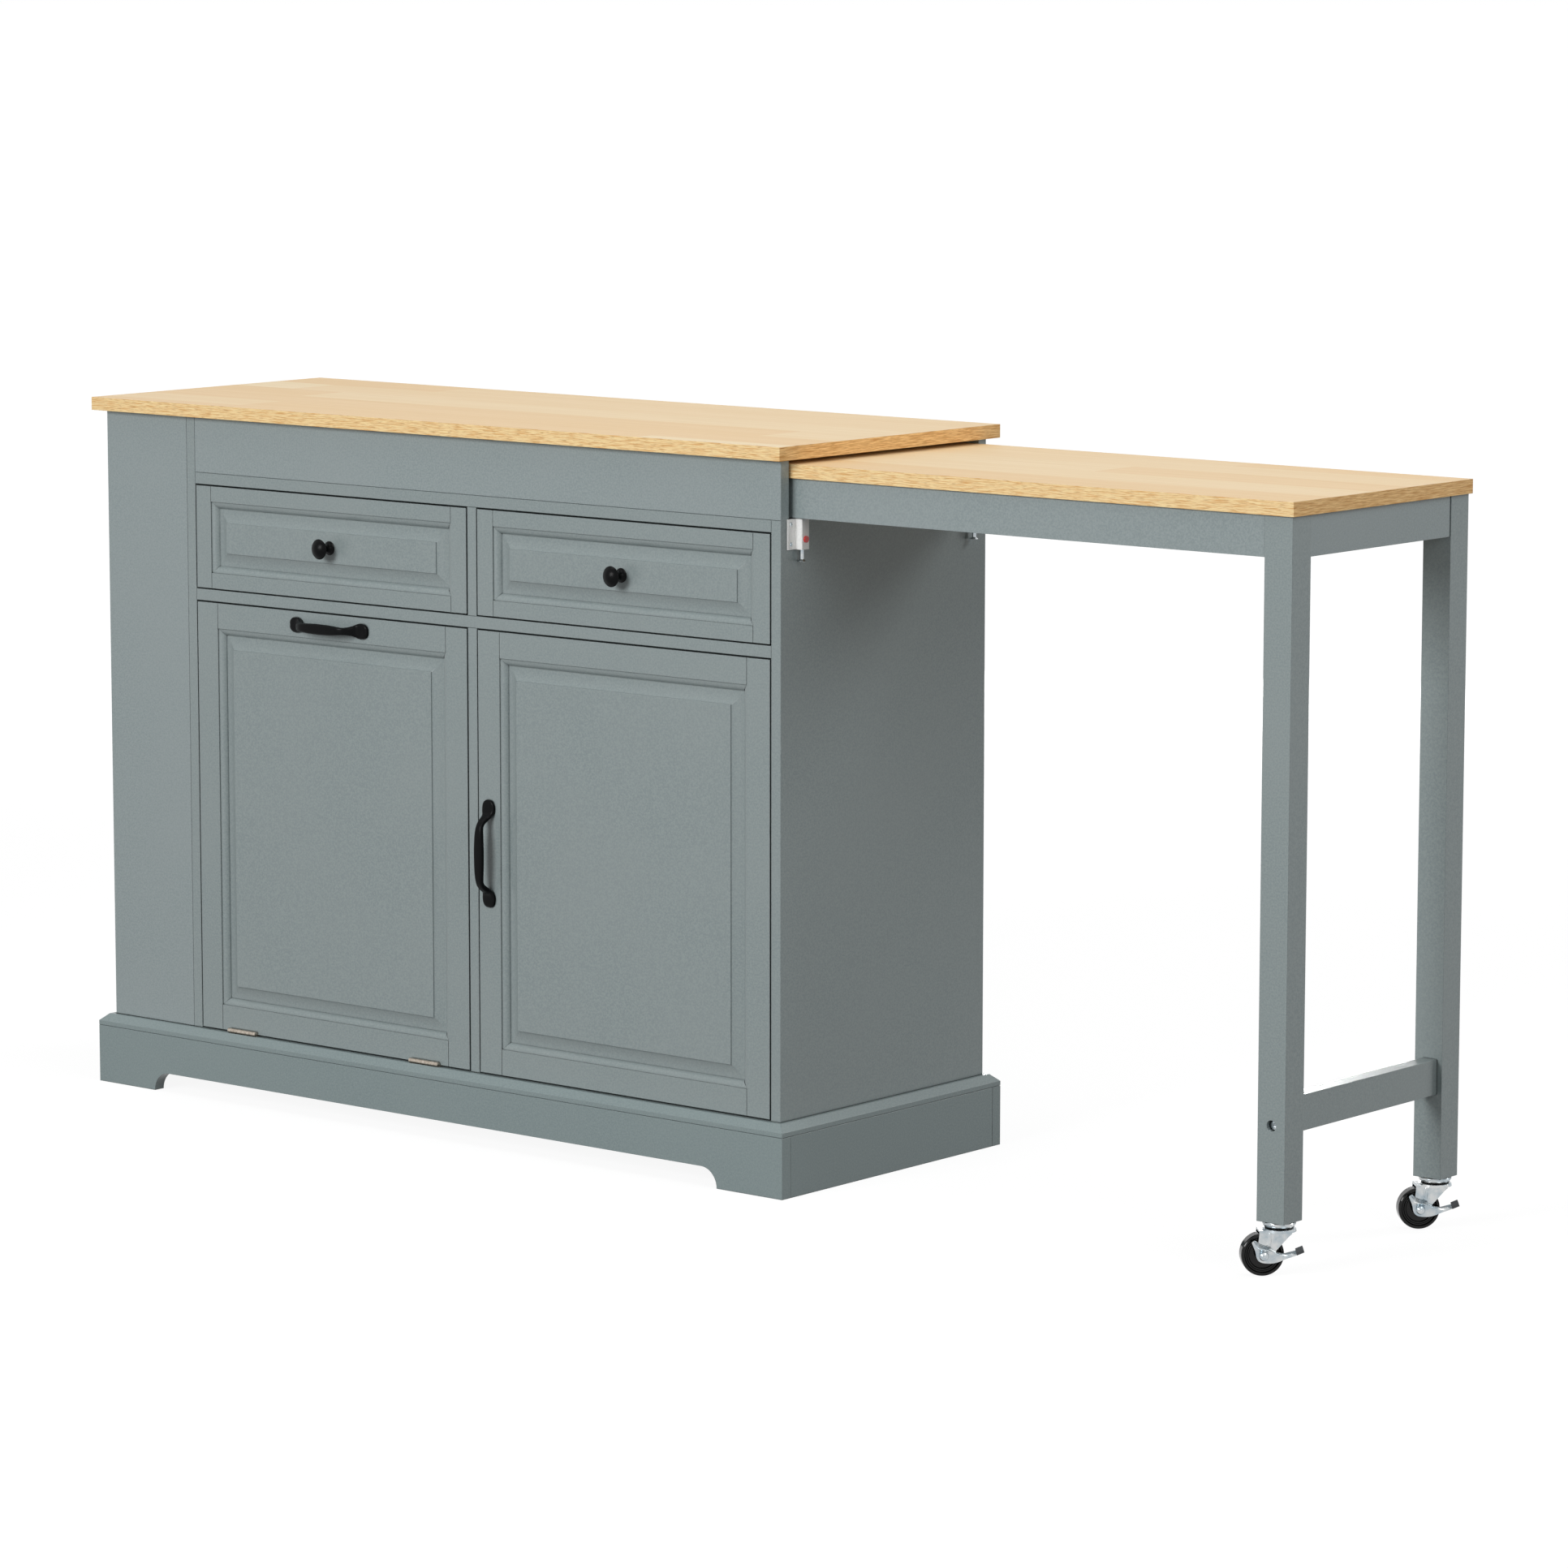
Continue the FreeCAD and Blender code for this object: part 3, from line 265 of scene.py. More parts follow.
def closeSurface(tree, values, colour, sheen, height):
    edge = addNode(tree, "ShaderNodeBevel", {"samples": values["edgeSamples"]},
                   {"Radius": mm(values["arris"])})
    bump = addNode(tree, "ShaderNodeBump", None,
                   {"Strength": values["bump"], "Distance": mm(values["bumpHeight"]),
                    "Height": height, "Normal": edge.outputs[0]})
    shader = addNode(tree, "ShaderNodeBsdfPrincipled", None,
                     {"Base Color": colour, "Roughness": sheen, "IOR": values["ior"],
                      "Metallic": values["metallic"], "Normal": bump.outputs[0]})
    closeMaterial(tree, shader)


def makePaint(name, values):
    material, tree = newMaterial(name)
    place = addNode(tree, "ShaderNodeTexCoord").outputs["Object"]
    fine = noise(tree, place, values["speckleWidth"], values["speckleDetail"])
    broad = noise(tree, place, values["cloudWidth"], values["cloudDetail"])
    low, high = values["contrast"]
    speckled = ramped(tree, fine, [(low, values["speckle"]), (high, values["colour"])])
    share = ranged(tree, broad, low, high, 0.0, values["cloudShare"])
    clouded = mixed(tree, share, speckled, linear(values["cloud"]))
    # painted shade: the colour darkens towards the joint shade where ambient occlusion finds other
    # surfaces near
    nearby = addNode(tree, "ShaderNodeAmbientOcclusion", {"samples": values["edgeSamples"]},
                     {"Distance": mm(values["creviceReach"])})
    openness = ranged(tree, nearby.outputs["AO"], *values["creviceShade"])
    colour = mixed(tree, openness, linear(values["paintedJointShade"]), clouded)
    sheen = ranged(tree, broad, 0.0, 1.0, values["roughness"] - values["roughnessSwing"],
                   values["roughness"] + values["roughnessSwing"])
    closeSurface(tree, values, colour, sheen, fine)
    return material


# Oak-print laminate on particle board: pale matte faces, stronger golden streaks on the edge band.
# Each streak has the length and width of the print in mm, a noise detail and a distortion; each
# share has the noise from and to which a colour comes in, and how much of it
oak = {
    **surface,
    "vessel": {"size": (260.0, 3.2), "detail": 4.0, "warp": 0.4},
    "vesselRamp": [(0.3, "#E6C891"), (0.52, "#F5DDB3")],
    "plank": {"size": (900.0, 38.0), "detail": 2.0, "warp": 1.2},
    "plankColour": "#EED2A0",
    "plankShare": (0.4, 0.62, 0.0, 0.7),
    "stave": (1300.0, 80.0),  # the print copies glued staves, each of its own tone
    "staveStart": -180.0,
    "staveSeed": 5.0,
    "staveRamp": [(0.1, "#E3B57A"), (0.9, "#F6E2BE")],
    "staveShare": 0.42,
    "band": {"size": (26.0, 1.15), "detail": 3.0, "warp": 0.35},
    "longRamp": [(0.32, "#E2A962"), (0.55, "#FFE2A9")],  # long edges, seen from the front
    "endShadeRamp": [(0.32, "#C88C40"), (0.6, "#FCD290")],  # the ends, facing the sides, in a darker, deeper gold: painted shade
    "pore": {"size": (13.0, 0.6), "detail": 1.0, "warp": 0.2},
    "poreColour": "#B57A38",
    "poreShare": (0.56, 0.66, 0.0, 0.55),
    "endTurn": 0.7,  # least part of the normal along X on an end, and along Z on a face
    "faceTurn": 0.5,
    "bump": 0.35,
    "bumpHeight": 0.06,
    "arris": 0.7,
    "roughness": 0.5,
}


def streaks(tree, along, across, values):
    length, width = values["size"]
    place = combined(tree, maths(tree, "MULTIPLY", along, 1000 / length),
                     maths(tree, "MULTIPLY", across, 1000 / width))
    node = addNode(tree, "ShaderNodeTexNoise", None,
                   {"Vector": place, "Scale": 1.0, "Detail": values["detail"],
                    "Distortion": values["warp"]})
    return node.outputs["Fac"]


def staveTone(tree, x, y):
    length, width = (mm(v) for v in oak["stave"])
    rows = maths(tree, "DIVIDE", maths(tree, "SUBTRACT", y, mm(oak["staveStart"])), width)
    row = maths(tree, "ADD", maths(tree, "FLOOR", rows), oak["staveSeed"])
    shift = addNode(tree, "ShaderNodeTexWhiteNoise", {"noise_dimensions": "1D"}, {"W": row})
    along = maths(tree, "ADD", maths(tree, "DIVIDE", x, length), shift.outputs["Value"])
    cell = combined(tree, maths(tree, "FLOOR", along), row)
    pick = addNode(tree, "ShaderNodeTexWhiteNoise", {"noise_dimensions": "2D"}, {"Vector": cell})
    return ramped(tree, pick.outputs["Value"], oak["staveRamp"])


def makeOak():
    material, tree = newMaterial("oakLaminate")
    source = addNode(tree, "ShaderNodeTexCoord").outputs
    x, y, z = addNode(tree, "ShaderNodeSeparateXYZ", None, {0: source["Object"]}).outputs
    facing = addNode(tree, "ShaderNodeSeparateXYZ", None, {0: source["Normal"]}).outputs

    vessels = streaks(tree, x, y, oak["vessel"])
    face = ramped(tree, vessels, oak["vesselRamp"])
    share = ranged(tree, streaks(tree, x, y, oak["plank"]), *oak["plankShare"])
    face = mixed(tree, share, face, linear(oak["plankColour"]))
    face = mixed(tree, oak["staveShare"], face, staveTone(tree, x, y))

    around = maths(tree, "ADD", x, y)  # runs round the edge
    dashes = streaks(tree, around, z, oak["band"])
    # edges that face the sides take the darker ramp: painted shade
    isEnd = maths(tree, "GREATER_THAN", maths(tree, "ABSOLUTE", facing["X"]), oak["endTurn"])
    band = mixed(tree, isEnd, ramped(tree, dashes, oak["longRamp"]),
                 ramped(tree, dashes, oak["endShadeRamp"]))
    share = ranged(tree, streaks(tree, around, z, oak["pore"]), *oak["poreShare"])
    band = mixed(tree, share, band, linear(oak["poreColour"]))

    isFace = maths(tree, "GREATER_THAN", maths(tree, "ABSOLUTE", facing["Z"]), oak["faceTurn"])
    colour = mixed(tree, isFace, band, face)
    closeSurface(tree, oak, colour, oak["roughness"], vessels)
    return material


# Metals, plastics and rubber: a faint mottle of two tones and a barely uneven skin. The zinc plate
# is bright with a blue passivate, whose darker blue-grey mottle is also painted reflection of dark
# surroundings; the nickel is satin, and the black a powder coat on zinc alloy
skin = {
    **surface,
    "detail": 3.0,
    "roughnessSwing": 0.2,
    "bump": 0.3,
    "bumpHeight": 0.03,
    "arris": 0.3,
}
moulded = {
    # the darker blue-grey tone is partly painted reflection of dark surroundings
    "zincPlate": {"tones": ("#A3AFB6", "#C8CACA"), "grain": 12.0, "roughness": 0.2,
                  "metallic": 1.0},
    "satinNickel": {"tones": ("#A2978A", "#BDB4A8"), "grain": 3.0, "roughness": 0.33,
                    "metallic": 1.0},
    # a matted lacquer mirrors little of the white room
    "blackPowderCoat": {"tones": ("#060708", "#0A0B0C"), "grain": 1.2, "roughness": 0.3,
                        "ior": 1.17},
    "glossyWheelPlastic": {"tones": ("#060606", "#0B0B0B"), "grain": 6.0, "roughness": 0.1,
                           "ior": 1.35},
    "whiteAbs": {"tones": ("#F0F0EE", "#F8F8F6"), "grain": 2.0, "roughness": 0.3},
    "redAbs": {"tones": ("#D62A28", "#E8352F"), "grain": 2.0, "roughness": 0.22},
    "greyRubber": {"tones": ("#3B3E40", "#4A4D4F"), "grain": 1.0, "roughness": 0.7},
}


def makeMoulded(name, values):
    material, tree = newMaterial(name)
    place = addNode(tree, "ShaderNodeTexCoord").outputs["Object"]
    grain = noise(tree, place, values["grain"], values["detail"])
    colour = ramped(tree, grain, list(zip(values["contrast"], values["tones"])))
    sheen = ranged(tree, grain, 0.0, 1.0, values["roughness"] * (1 - values["roughnessSwing"]),
                   values["roughness"] * (1 + values["roughnessSwing"]))
    closeSurface(tree, values, colour, sheen, grain)
    return material


finishes = {name: makeMoulded(name, {**skin, **values}) for name, values in moulded.items()}
finishes["satinPaint"] = makePaint("satinPaint", paint)
finishes["foilBoard"] = makePaint("foilBoard", {**paint, "roughness": 0.45, "arris": 0.4})
# Lighter and darker copies of the satin paint: painted light on the flat front boards and table
# rails, painted shade, darker and greener, on the plinth near the floor
finishes["satinPaintLitCopy"] = makePaint(
    "satinPaintLitCopy", {**paint, "colour": "#99A4A5", "speckle": "#8B9798", "cloud": "#99A2A3"})
finishes["satinPaintShadedCopy"] = makePaint(
    "satinPaintShadedCopy", {**paint, "colour": "#8A9899", "speckle": "#7D8C8D", "cloud": "#8A9797"})
finishes["oakLaminate"] = makeOak()

slotFinish = {
    "paint": "satinPaint",
    "box_board": "foilBoard",
    "oak_laminate": "oakLaminate",
    "black_metal": "blackPowderCoat",
    "zinc_steel": "zincPlate",
    "nickel_steel": "satinNickel",
    "wheel_plastic": "glossyWheelPlastic",
    "white_plastic": "whiteAbs",
    "red_plastic": "redAbs",
}
# the lighter copy is painted light on the flat boards and rails, the darker copy painted shade on
# the plinth
nodeFinish = {
    "front_fascia": "satinPaintLitCopy",
    "rack_face_boards": "satinPaintLitCopy",
    "table_rails": "satinPaintLitCopy",
    "plinth_front": "satinPaintShadedCopy",
    "plinth_back": "satinPaintShadedCopy",
    "plinth_ends": "satinPaintShadedCopy",
    "plinth_cap": "satinPaintShadedCopy",
}
for part in frame["record"]["subparts"]:
    name = part["node"]
    for holder in nodes[name].material_slots:
        holder.material = finishes[nodeFinish.get(name, slotFinish[part["material_slot"]])]
print("finishes made:", len(finishes))


def linked(name, mesh):
    piece = bpy.data.objects.new(name, mesh)
    bpy.context.scene.collection.objects.link(piece)
    return piece


def settled(piece):
    bpy.context.view_layer.update()
    shaped = piece.evaluated_get(bpy.context.evaluated_depsgraph_get())
    mesh = bpy.data.meshes.new_from_object(shaped)
    piece.modifiers.clear()
    piece.data = mesh


def circle(radius, sides):
    return [(radius * math.cos(t * math.tau / sides), radius * math.sin(t * math.tau / sides))
            for t in range(sides)]


# Pan-head screws, set where hardware is fixed, at places in mm from the sides of its box
screws = {
    "headRadius": 2.6,
    "headHeight": 1.3,
    "headSteps": 5,
    "headSides": 24,
    "crossLength": 2.6,
    "crossWidth": 0.6,
    "crossDepth": 0.8,
    "crossStagger": 1.06,  # one slot is cut deeper, so that the two floors don't lie in one plane
    "latchFlange": 2.5,
    "latchSunk": 0.2,
    "latchInset": (5.36, 6.5),
    "armFace": 7,
    "armInset": 7,
    "armBack": (12, 34),
    "panelInset": 8,
    "panelAcross": 9,  # spaces between the screws of the back panel
    "panelUp": 6,
}


def screwHead():
    mesh = bpy.data.meshes.new("screwHead")
    form = bmesh.new()
    rings = []
    for n in range(screws["headSteps"]):
        angle = math.pi / 2 * n / screws["headSteps"]
        height = mm(screws["headHeight"]) * math.sin(angle)
        outline = circle(mm(screws["headRadius"]) * math.cos(angle), screws["headSides"])
        rings.append([form.verts.new((x, y, height)) for x, y in outline])
    for low, high in zip(rings, rings[1:]):
        for a in range(len(low)):
            b = (a + 1) % len(low)
            form.faces.new((low[a], low[b], high[b], high[a]))
    form.faces.new(rings[-1])
    form.faces.new(list(reversed(rings[0])))
    form.to_mesh(mesh)
    form.free()
    for face in mesh.polygons:
        face.use_smooth = len(face.vertices) == 4
    return linked("screwHead", mesh)


def screwTree():
    tree = bpy.data.node_groups.new("screwRow", "GeometryNodeTree")
    inputs = {
        "Geometry": "NodeSocketGeometry",
        "Head": "NodeSocketObject",
        "Cross length": "NodeSocketFloat",
        "Cross width": "NodeSocketFloat",
        "Cross depth": "NodeSocketFloat",
        "Head height": "NodeSocketFloat",
        "Material": "NodeSocketMaterial",
    }
    for name, kind in inputs.items():
        tree.interface.new_socket(name, in_out="INPUT", socket_type=kind)
    tree.interface.new_socket("Geometry", in_out="OUTPUT", socket_type="NodeSocketGeometry")
    given = addNode(tree, "NodeGroupInput").outputs
    head = addNode(tree, "GeometryNodeObjectInfo", None, {"Object": given["Head"]})
    length, width = given["Cross length"], given["Cross width"]
    depth = maths(tree, "MULTIPLY", given["Cross depth"], 2.0)
    deeper = maths(tree, "MULTIPLY", depth, screws["crossStagger"])
    slots = [addNode(tree, "GeometryNodeMeshCube", None, {"Size": combined(tree, *size)})
             for size in ((length, width, depth), (width, length, deeper))]
    both = addNode(tree, "GeometryNodeMeshBoolean", {"operation": "UNION"},
                   {"Mesh 2": slots[0].outputs[0]})
    tree.links.new(slots[1].outputs[0], both.inputs["Mesh 2"])
    lift = combined(tree, 0.0, 0.0, given["Head height"])
    raised = addNode(tree, "GeometryNodeTransform", None,
                     {"Geometry": both.outputs[0], "Translation": lift})
    crossed = addNode(tree, "GeometryNodeMeshBoolean", {"operation": "DIFFERENCE"},
                      {"Mesh 1": head.outputs["Geometry"], "Mesh 2": raised.outputs[0]})
    facing = addNode(tree, "GeometryNodeInputNamedAttribute", {"data_type": "FLOAT_VECTOR"},
                     {"Name": "facing"})
    turned = addNode(tree, "FunctionNodeAlignRotationToVector", {"axis": "Z"},
                     {"Vector": facing.outputs[0]})
    row = addNode(tree, "GeometryNodeInstanceOnPoints", None,
                  {"Points": given["Geometry"], "Instance": crossed.outputs[0],
                   "Rotation": turned.outputs[0]})
    real = addNode(tree, "GeometryNodeRealizeInstances", None, {"Geometry": row.outputs[0]})
    dressed = addNode(tree, "GeometryNodeSetMaterial", None,
                      {"Geometry": real.outputs[0], "Material": given["Material"]})
    addNode(tree, "NodeGroupOutput", None, {0: dressed.outputs[0]})
    return tree


def pointsWithFacing(name, places):
    mesh = bpy.data.meshes.new(name)
    mesh.from_pydata([place for place, facing in places], [], [])
    layer = mesh.attributes.new("facing", "FLOAT_VECTOR", "POINT")
    layer.data.foreach_set("vector", [v for place, facing in places for v in facing])
    return linked(name, mesh)


def grown(holder, tree, values):
    modifier = holder.modifiers.new(tree.name, "NODES")
    modifier.node_group = tree
    for item in tree.interface.items_tree:
        if item.in_out == "INPUT" and item.name in values:
            modifier[item.identifier] = values[item.name]
    settled(holder)


def screwPlaces():
    low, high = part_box("latch_housings")
    x = low.x + mm(screws["latchFlange"]) - mm(screws["latchSunk"])
    insetY, insetZ = (mm(v) for v in screws["latchInset"])
    places = [((x, y, z), (1, 0, 0)) for y in (low.y + insetY, high.y - insetY)
              for z in (low.z + insetZ, high.z - insetZ)]

    low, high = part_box("door_hinge_arms")
    x, inset = high.x - mm(screws["armFace"]), mm(screws["armInset"])
    places += [((x, high.y - mm(back), z), (-1, 0, 0)) for z in (low.z + inset, high.z - inset)
               for back in screws["armBack"]]

    low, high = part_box("back_panel")
    inset, across, up = mm(screws["panelInset"]), screws["panelAcross"], screws["panelUp"]
    left, right, foot, head = low.x + inset, high.x - inset, low.z + inset, high.z - inset
    for n in range(across + 1):
        x = left + (high.x - low.x - 2 * inset) * n / across
        places += [((x, high.y, z), (0, 1, 0)) for z in (foot, head)]
    for n in range(1, up):
        z = foot + (high.z - low.z - 2 * inset) * n / up
        places += [((x, high.y, z), (0, 1, 0)) for x in (left, right)]
    return places


def setScrews():
    row = pointsWithFacing("screws", screwPlaces())
    head = screwHead()
    grown(row, screwTree(), {
        "Head": head,
        "Cross length": mm(screws["crossLength"]),
        "Cross width": mm(screws["crossWidth"]),
        "Cross depth": mm(screws["crossDepth"]),
        "Head height": mm(screws["headHeight"]),
        "Material": finishes["zincPlate"],
    })
    bpy.data.objects.remove(head)
    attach(row, "cabinet")


setScrews()
print("screws set")

# Casters: a folded brake lever with a rubber pad, a pressed rib on the cheek, a cup round the race
# and under it a black ring, painted shade in the gap. Places are in mm: right of the axle and above
# it as seen from the brake side, and out from the wheel's middle
caster = {
    "swivel": 225.0,
    "raceRadius": 19.0,
    "trail": 20.0,
    "axleHeight": 25.0,
    "cheekFace": 12.0,
}
lever = {
    "sheet": 1.4,
    "smoothing": 3,
    "foldedSections": 8,  # from the first on, as far as the fold is sharp
    "foldCrease": 0.75,
    "edgeRound": 0.25,
    "axleHole": 3.1,
    "holeSides": 32,
    "holeSpan": (11.0, 20.0),
    "sections": [  # top edge, fold, under the fold, middle, lower edge
        [(-11.0, 18.8, 14.2), (-13.4, 17.8, 17.6), (-13.8, 17.3, 17.3),
         (-14.0, 16.9, 16.9), (-14.2, 16.5, 16.5)],
        [(-7.2, 15.0, 13.9), (-10.9, 12.9, 18.0), (-11.3, 12.3, 17.6),
         (-11.6, 11.8, 17.0), (-12.0, 11.2, 16.4)],
        [(-3.4, 12.6, 13.9), (-8.0, 9.4, 18.2), (-8.5, 8.5, 17.4),
         (-9.0, 7.2, 16.2), (-9.4, 5.6, 14.9)],
        [(1.5, 11.0, 13.9), (-3.2, 8.4, 18.2), (-4.4, 7.2, 16.4),
         (-6.8, 3.4, 13.3), (-9.2, -0.8, 13.2)],
        [(6.0, 9.2, 13.9), (2.4, 8.0, 18.2), (1.6, 6.9, 16.0),
         (-1.8, -3.2, 13.1), (-5.8, -7.0, 13.1)],
        [(10.5, 6.4, 13.9), (8.2, 5.9, 17.8), (7.2, 4.2, 15.6),
         (3.4, -4.8, 13.1), (0.5, -9.0, 13.1)],
        [(15.0, 3.8, 13.9), (13.6, 3.0, 17.4), (12.8, 1.0, 16.2),
         (11.4, -4.7, 14.6), (10.2, -9.2, 13.6)],
        [(20.0, 2.0, 13.6), (19.0, 1.1, 17.0), (18.6, -0.8, 16.4),
         (18.0, -4.2, 15.4), (17.6, -7.2, 14.4)],
        [(24.6, 1.9, 12.8), (24.5, 1.4, 15.4), (24.4, 0.1, 16.6),
         (24.2, -1.8, 16.8), (24.0, -3.8, 16.6)],
        [(30.0, 3.1, 11.6), (30.0, 2.6, 13.8), (30.0, 1.3, 15.6),
         (30.0, -0.3, 16.9), (30.0, -2.0, 17.6)],
        [(36.0, 4.3, 11.5), (36.0, 3.8, 13.3), (36.0, 2.8, 15.1),
         (36.0, 1.6, 16.9), (36.0, 0.5, 18.0)],
        [(41.0, 6.1, 12.0), (41.0, 5.7, 13.4), (41.0, 4.8, 15.0),
         (41.0, 3.8, 16.6), (41.0, 3.0, 17.8)],
        [(45.2, 8.0, 12.2), (45.2, 7.7, 13.4), (45.2, 7.0, 14.9),
         (45.2, 6.2, 16.3), (45.2, 5.6, 17.4)],
    ],
}
leverPad = {
    "outline": [(37.6, 2.2), (46.4, 5.6), (45.0, 9.1), (36.8, 5.9)],  # lower face, then ribbed top
    "span": (10.9, 18.5),
    "tilt": 0.42,  # how far it drops per mm outward
    "ribs": 5,
    "ribSteps": 4,  # half of them on the rib, half in the groove
    "ribDepth": 0.45,
}
cheekRib = {
    "low": (6.0, 8.7, 4.2),  # right, up, half width
    "high": (7.8, 28.6, 2.8),
    "proud": 1.7,
    "sunk": 0.12,
    "root": 0.4,
    "tipShare": 0.15,  # height of the very tips, and how steeply they come up to full height
    "tipRise": 6,
    "steps": 16,
}
race = {
    # a black ring in the gap under the cup: painted shade
    "shadeRing": [  # radius, height
        (15.15, 56.35), (17.2, 56.35), (17.6, 56.8), (17.2, 57.2), (15.15, 57.2),
    ],
    "cup": [
        (15.15, 57.3), (17.4, 57.3), (18.9, 59.0), (19.4, 60.3), (19.4, 61.3), (19.05, 61.3),
        (19.05, 60.0), (17.05, 58.55), (15.15, 58.55),
    ],
    "sides": 64,
    "seam": 0.01,
    "edgeRound": 0.2,
}


def casterPlace(end):
    low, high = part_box("caster_stems")
    radius = mm(caster["raceRadius"])
    stem = Vector(((low.x + high.x) / 2, low.y + radius if end == "front" else high.y - radius, 0))
    turn = Matrix.Rotation(math.radians(caster["swivel"]), 3, "Z")

    def place(right, up, out):
        return stem + turn @ mm(caster["trail"] - right, out, caster["axleHeight"] + up)
    return place


def lofted(name, rings, closed, capped):
    form = bmesh.new()
    rows = [[form.verts.new(point) for point in ring] for ring in rings]
    count = len(rows[0])
    for one, two in zip(rows, rows[1:]):
        for a in range(count if closed else count - 1):
            b = (a + 1) % count
            form.faces.new((one[a], one[b], two[b], two[a]))
    if capped:
        form.faces.new(rows[0])
        form.faces.new(list(reversed(rows[-1])))
    bmesh.ops.recalc_face_normals(form, faces=form.faces)
    mesh = bpy.data.meshes.new(name)
    form.to_mesh(mesh)
    form.free()
    for face in mesh.polygons:
        face.use_smooth = True
    return linked(name, mesh)


def smoothed(piece, levels):
    smooth = piece.modifiers.new("smooth", "SUBSURF")
    smooth.levels = smooth.render_levels = levels


def rounded(piece, width, segments=3, sharpFrom=40):
    bevel = piece.modifiers.new("edges", "BEVEL")
    bevel.width = mm(width)
    bevel.segments = segments
    bevel.limit_method = "ANGLE"
    bevel.angle_limit = math.radians(sharpFrom)
    bevel.harden_normals = True


def finished(piece, body, finish):
    settled(piece)
    piece.data.materials.clear()
    piece.data.materials.append(finishes[finish])
    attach(piece, body)


def makeLever(end):
    place = casterPlace(end)
    rings = [[place(*point) for point in section] for section in lever["sections"]]
    piece = lofted("brakeLever_" + end, rings, False, False)
    crease = piece.data.attributes.new("crease_edge", "FLOAT", "EDGE")
    width = len(rings[0])
    for edge in piece.data.edges:
        one, two = sorted(edge.vertices)
        section, point = divmod(one, width)
        if section < lever["foldedSections"] and point == 1 and two - one == width:
            crease.data[edge.index].value = lever["foldCrease"]
    smoothed(piece, lever["smoothing"])
    sheet = piece.modifiers.new("sheet", "SOLIDIFY")
    sheet.thickness = mm(lever["sheet"])
    sheet.offset = 0
    outline = circle(lever["axleHole"], lever["holeSides"])
    drill = lofted("drill", [[place(right, up, out) for right, up in outline]
                             for out in lever["holeSpan"]], True, True)
    hole = piece.modifiers.new("hole", "BOOLEAN")
    hole.operation = "DIFFERENCE"
    hole.object = drill
    rounded(piece, lever["edgeRound"], 2)
    finished(piece, "lever_" + end, "zincPlate")
    bpy.data.objects.remove(drill)
    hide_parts("brake_lever_" + end)


def makeLeverPad(end):
    place = casterPlace(end)
    low, high = leverPad["span"]
    steps = leverPad["ribs"] * leverPad["ribSteps"]
    rings = []
    for n in range(steps + 1):
        out = low + (high - low) * n / steps
        drop = leverPad["tilt"] * (out - (low + high) / 2)
        inGroove = 0 < n < steps and n % leverPad["ribSteps"] >= leverPad["ribSteps"] / 2
        dip = leverPad["ribDepth"] * inGroove
        rings.append([place(right, up - down - drop, out)
                      for (right, up), down in zip(leverPad["outline"], (0, 0, dip, dip))])
    piece = lofted("leverPad_" + end, rings, True, True)
    rounded(piece, leverPad["ribDepth"] / 3)
    finished(piece, "lever_" + end, "greyRubber")


def makeCheekRib(end):
    place = casterPlace(end)
    steps, tip, rise = cheekRib["steps"], cheekRib["tipShare"], cheekRib["tipRise"]
    face = caster["cheekFace"] - cheekRib["sunk"]
    rings = []
    for n in range(steps + 1):
        share = n / steps
        right, up, half = (low + (high - low) * share
                           for low, high in zip(cheekRib["low"], cheekRib["high"]))
        proud = cheekRib["proud"] * min(1.0, rise * (1 - share) + tip, rise * share + tip)
        ring = [place(right + half * (1 - 2 * t / steps), up,
                      face + proud * math.sin(t * math.pi / steps) ** 2) for t in range(steps + 1)]
        ring += [place(side, up, face - cheekRib["root"]) for side in (right - half, right + half)]
        rings.append(ring)
    piece = lofted("cheekRib_" + end, rings, True, True)
    finished(piece, "caster_" + end, "zincPlate")


def makeRaceRing(name, end, section):
    middle = casterPlace(end)(caster["trail"], 0, 0)
    rings = [[Vector((middle.x + x, middle.y + y, mm(height)))
              for x, y in circle(mm(radius), race["sides"])] for radius, height in section]
    piece = lofted(name + end, rings + rings[:1], True, False)
    form = bmesh.new()
    form.from_mesh(piece.data)
    bmesh.ops.remove_doubles(form, verts=form.verts, dist=mm(race["seam"]))
    bmesh.ops.recalc_face_normals(form, faces=form.faces)
    form.to_mesh(piece.data)
    form.free()
    rounded(piece, race["edgeRound"], 2)
    return piece


for end in ("front", "back"):
    makeLever(end)
    makeLeverPad(end)
    makeCheekRib(end)
    # the black ring under the cup is painted shade
    shadeRing = makeRaceRing("raceSeal_", end, race["shadeRing"])
    finished(shadeRing, "table", "glossyWheelPlastic")
    cup = makeRaceRing("raceCup_", end, race["cup"])
    finished(cup, "table", "zincPlate")
print("casters dressed")

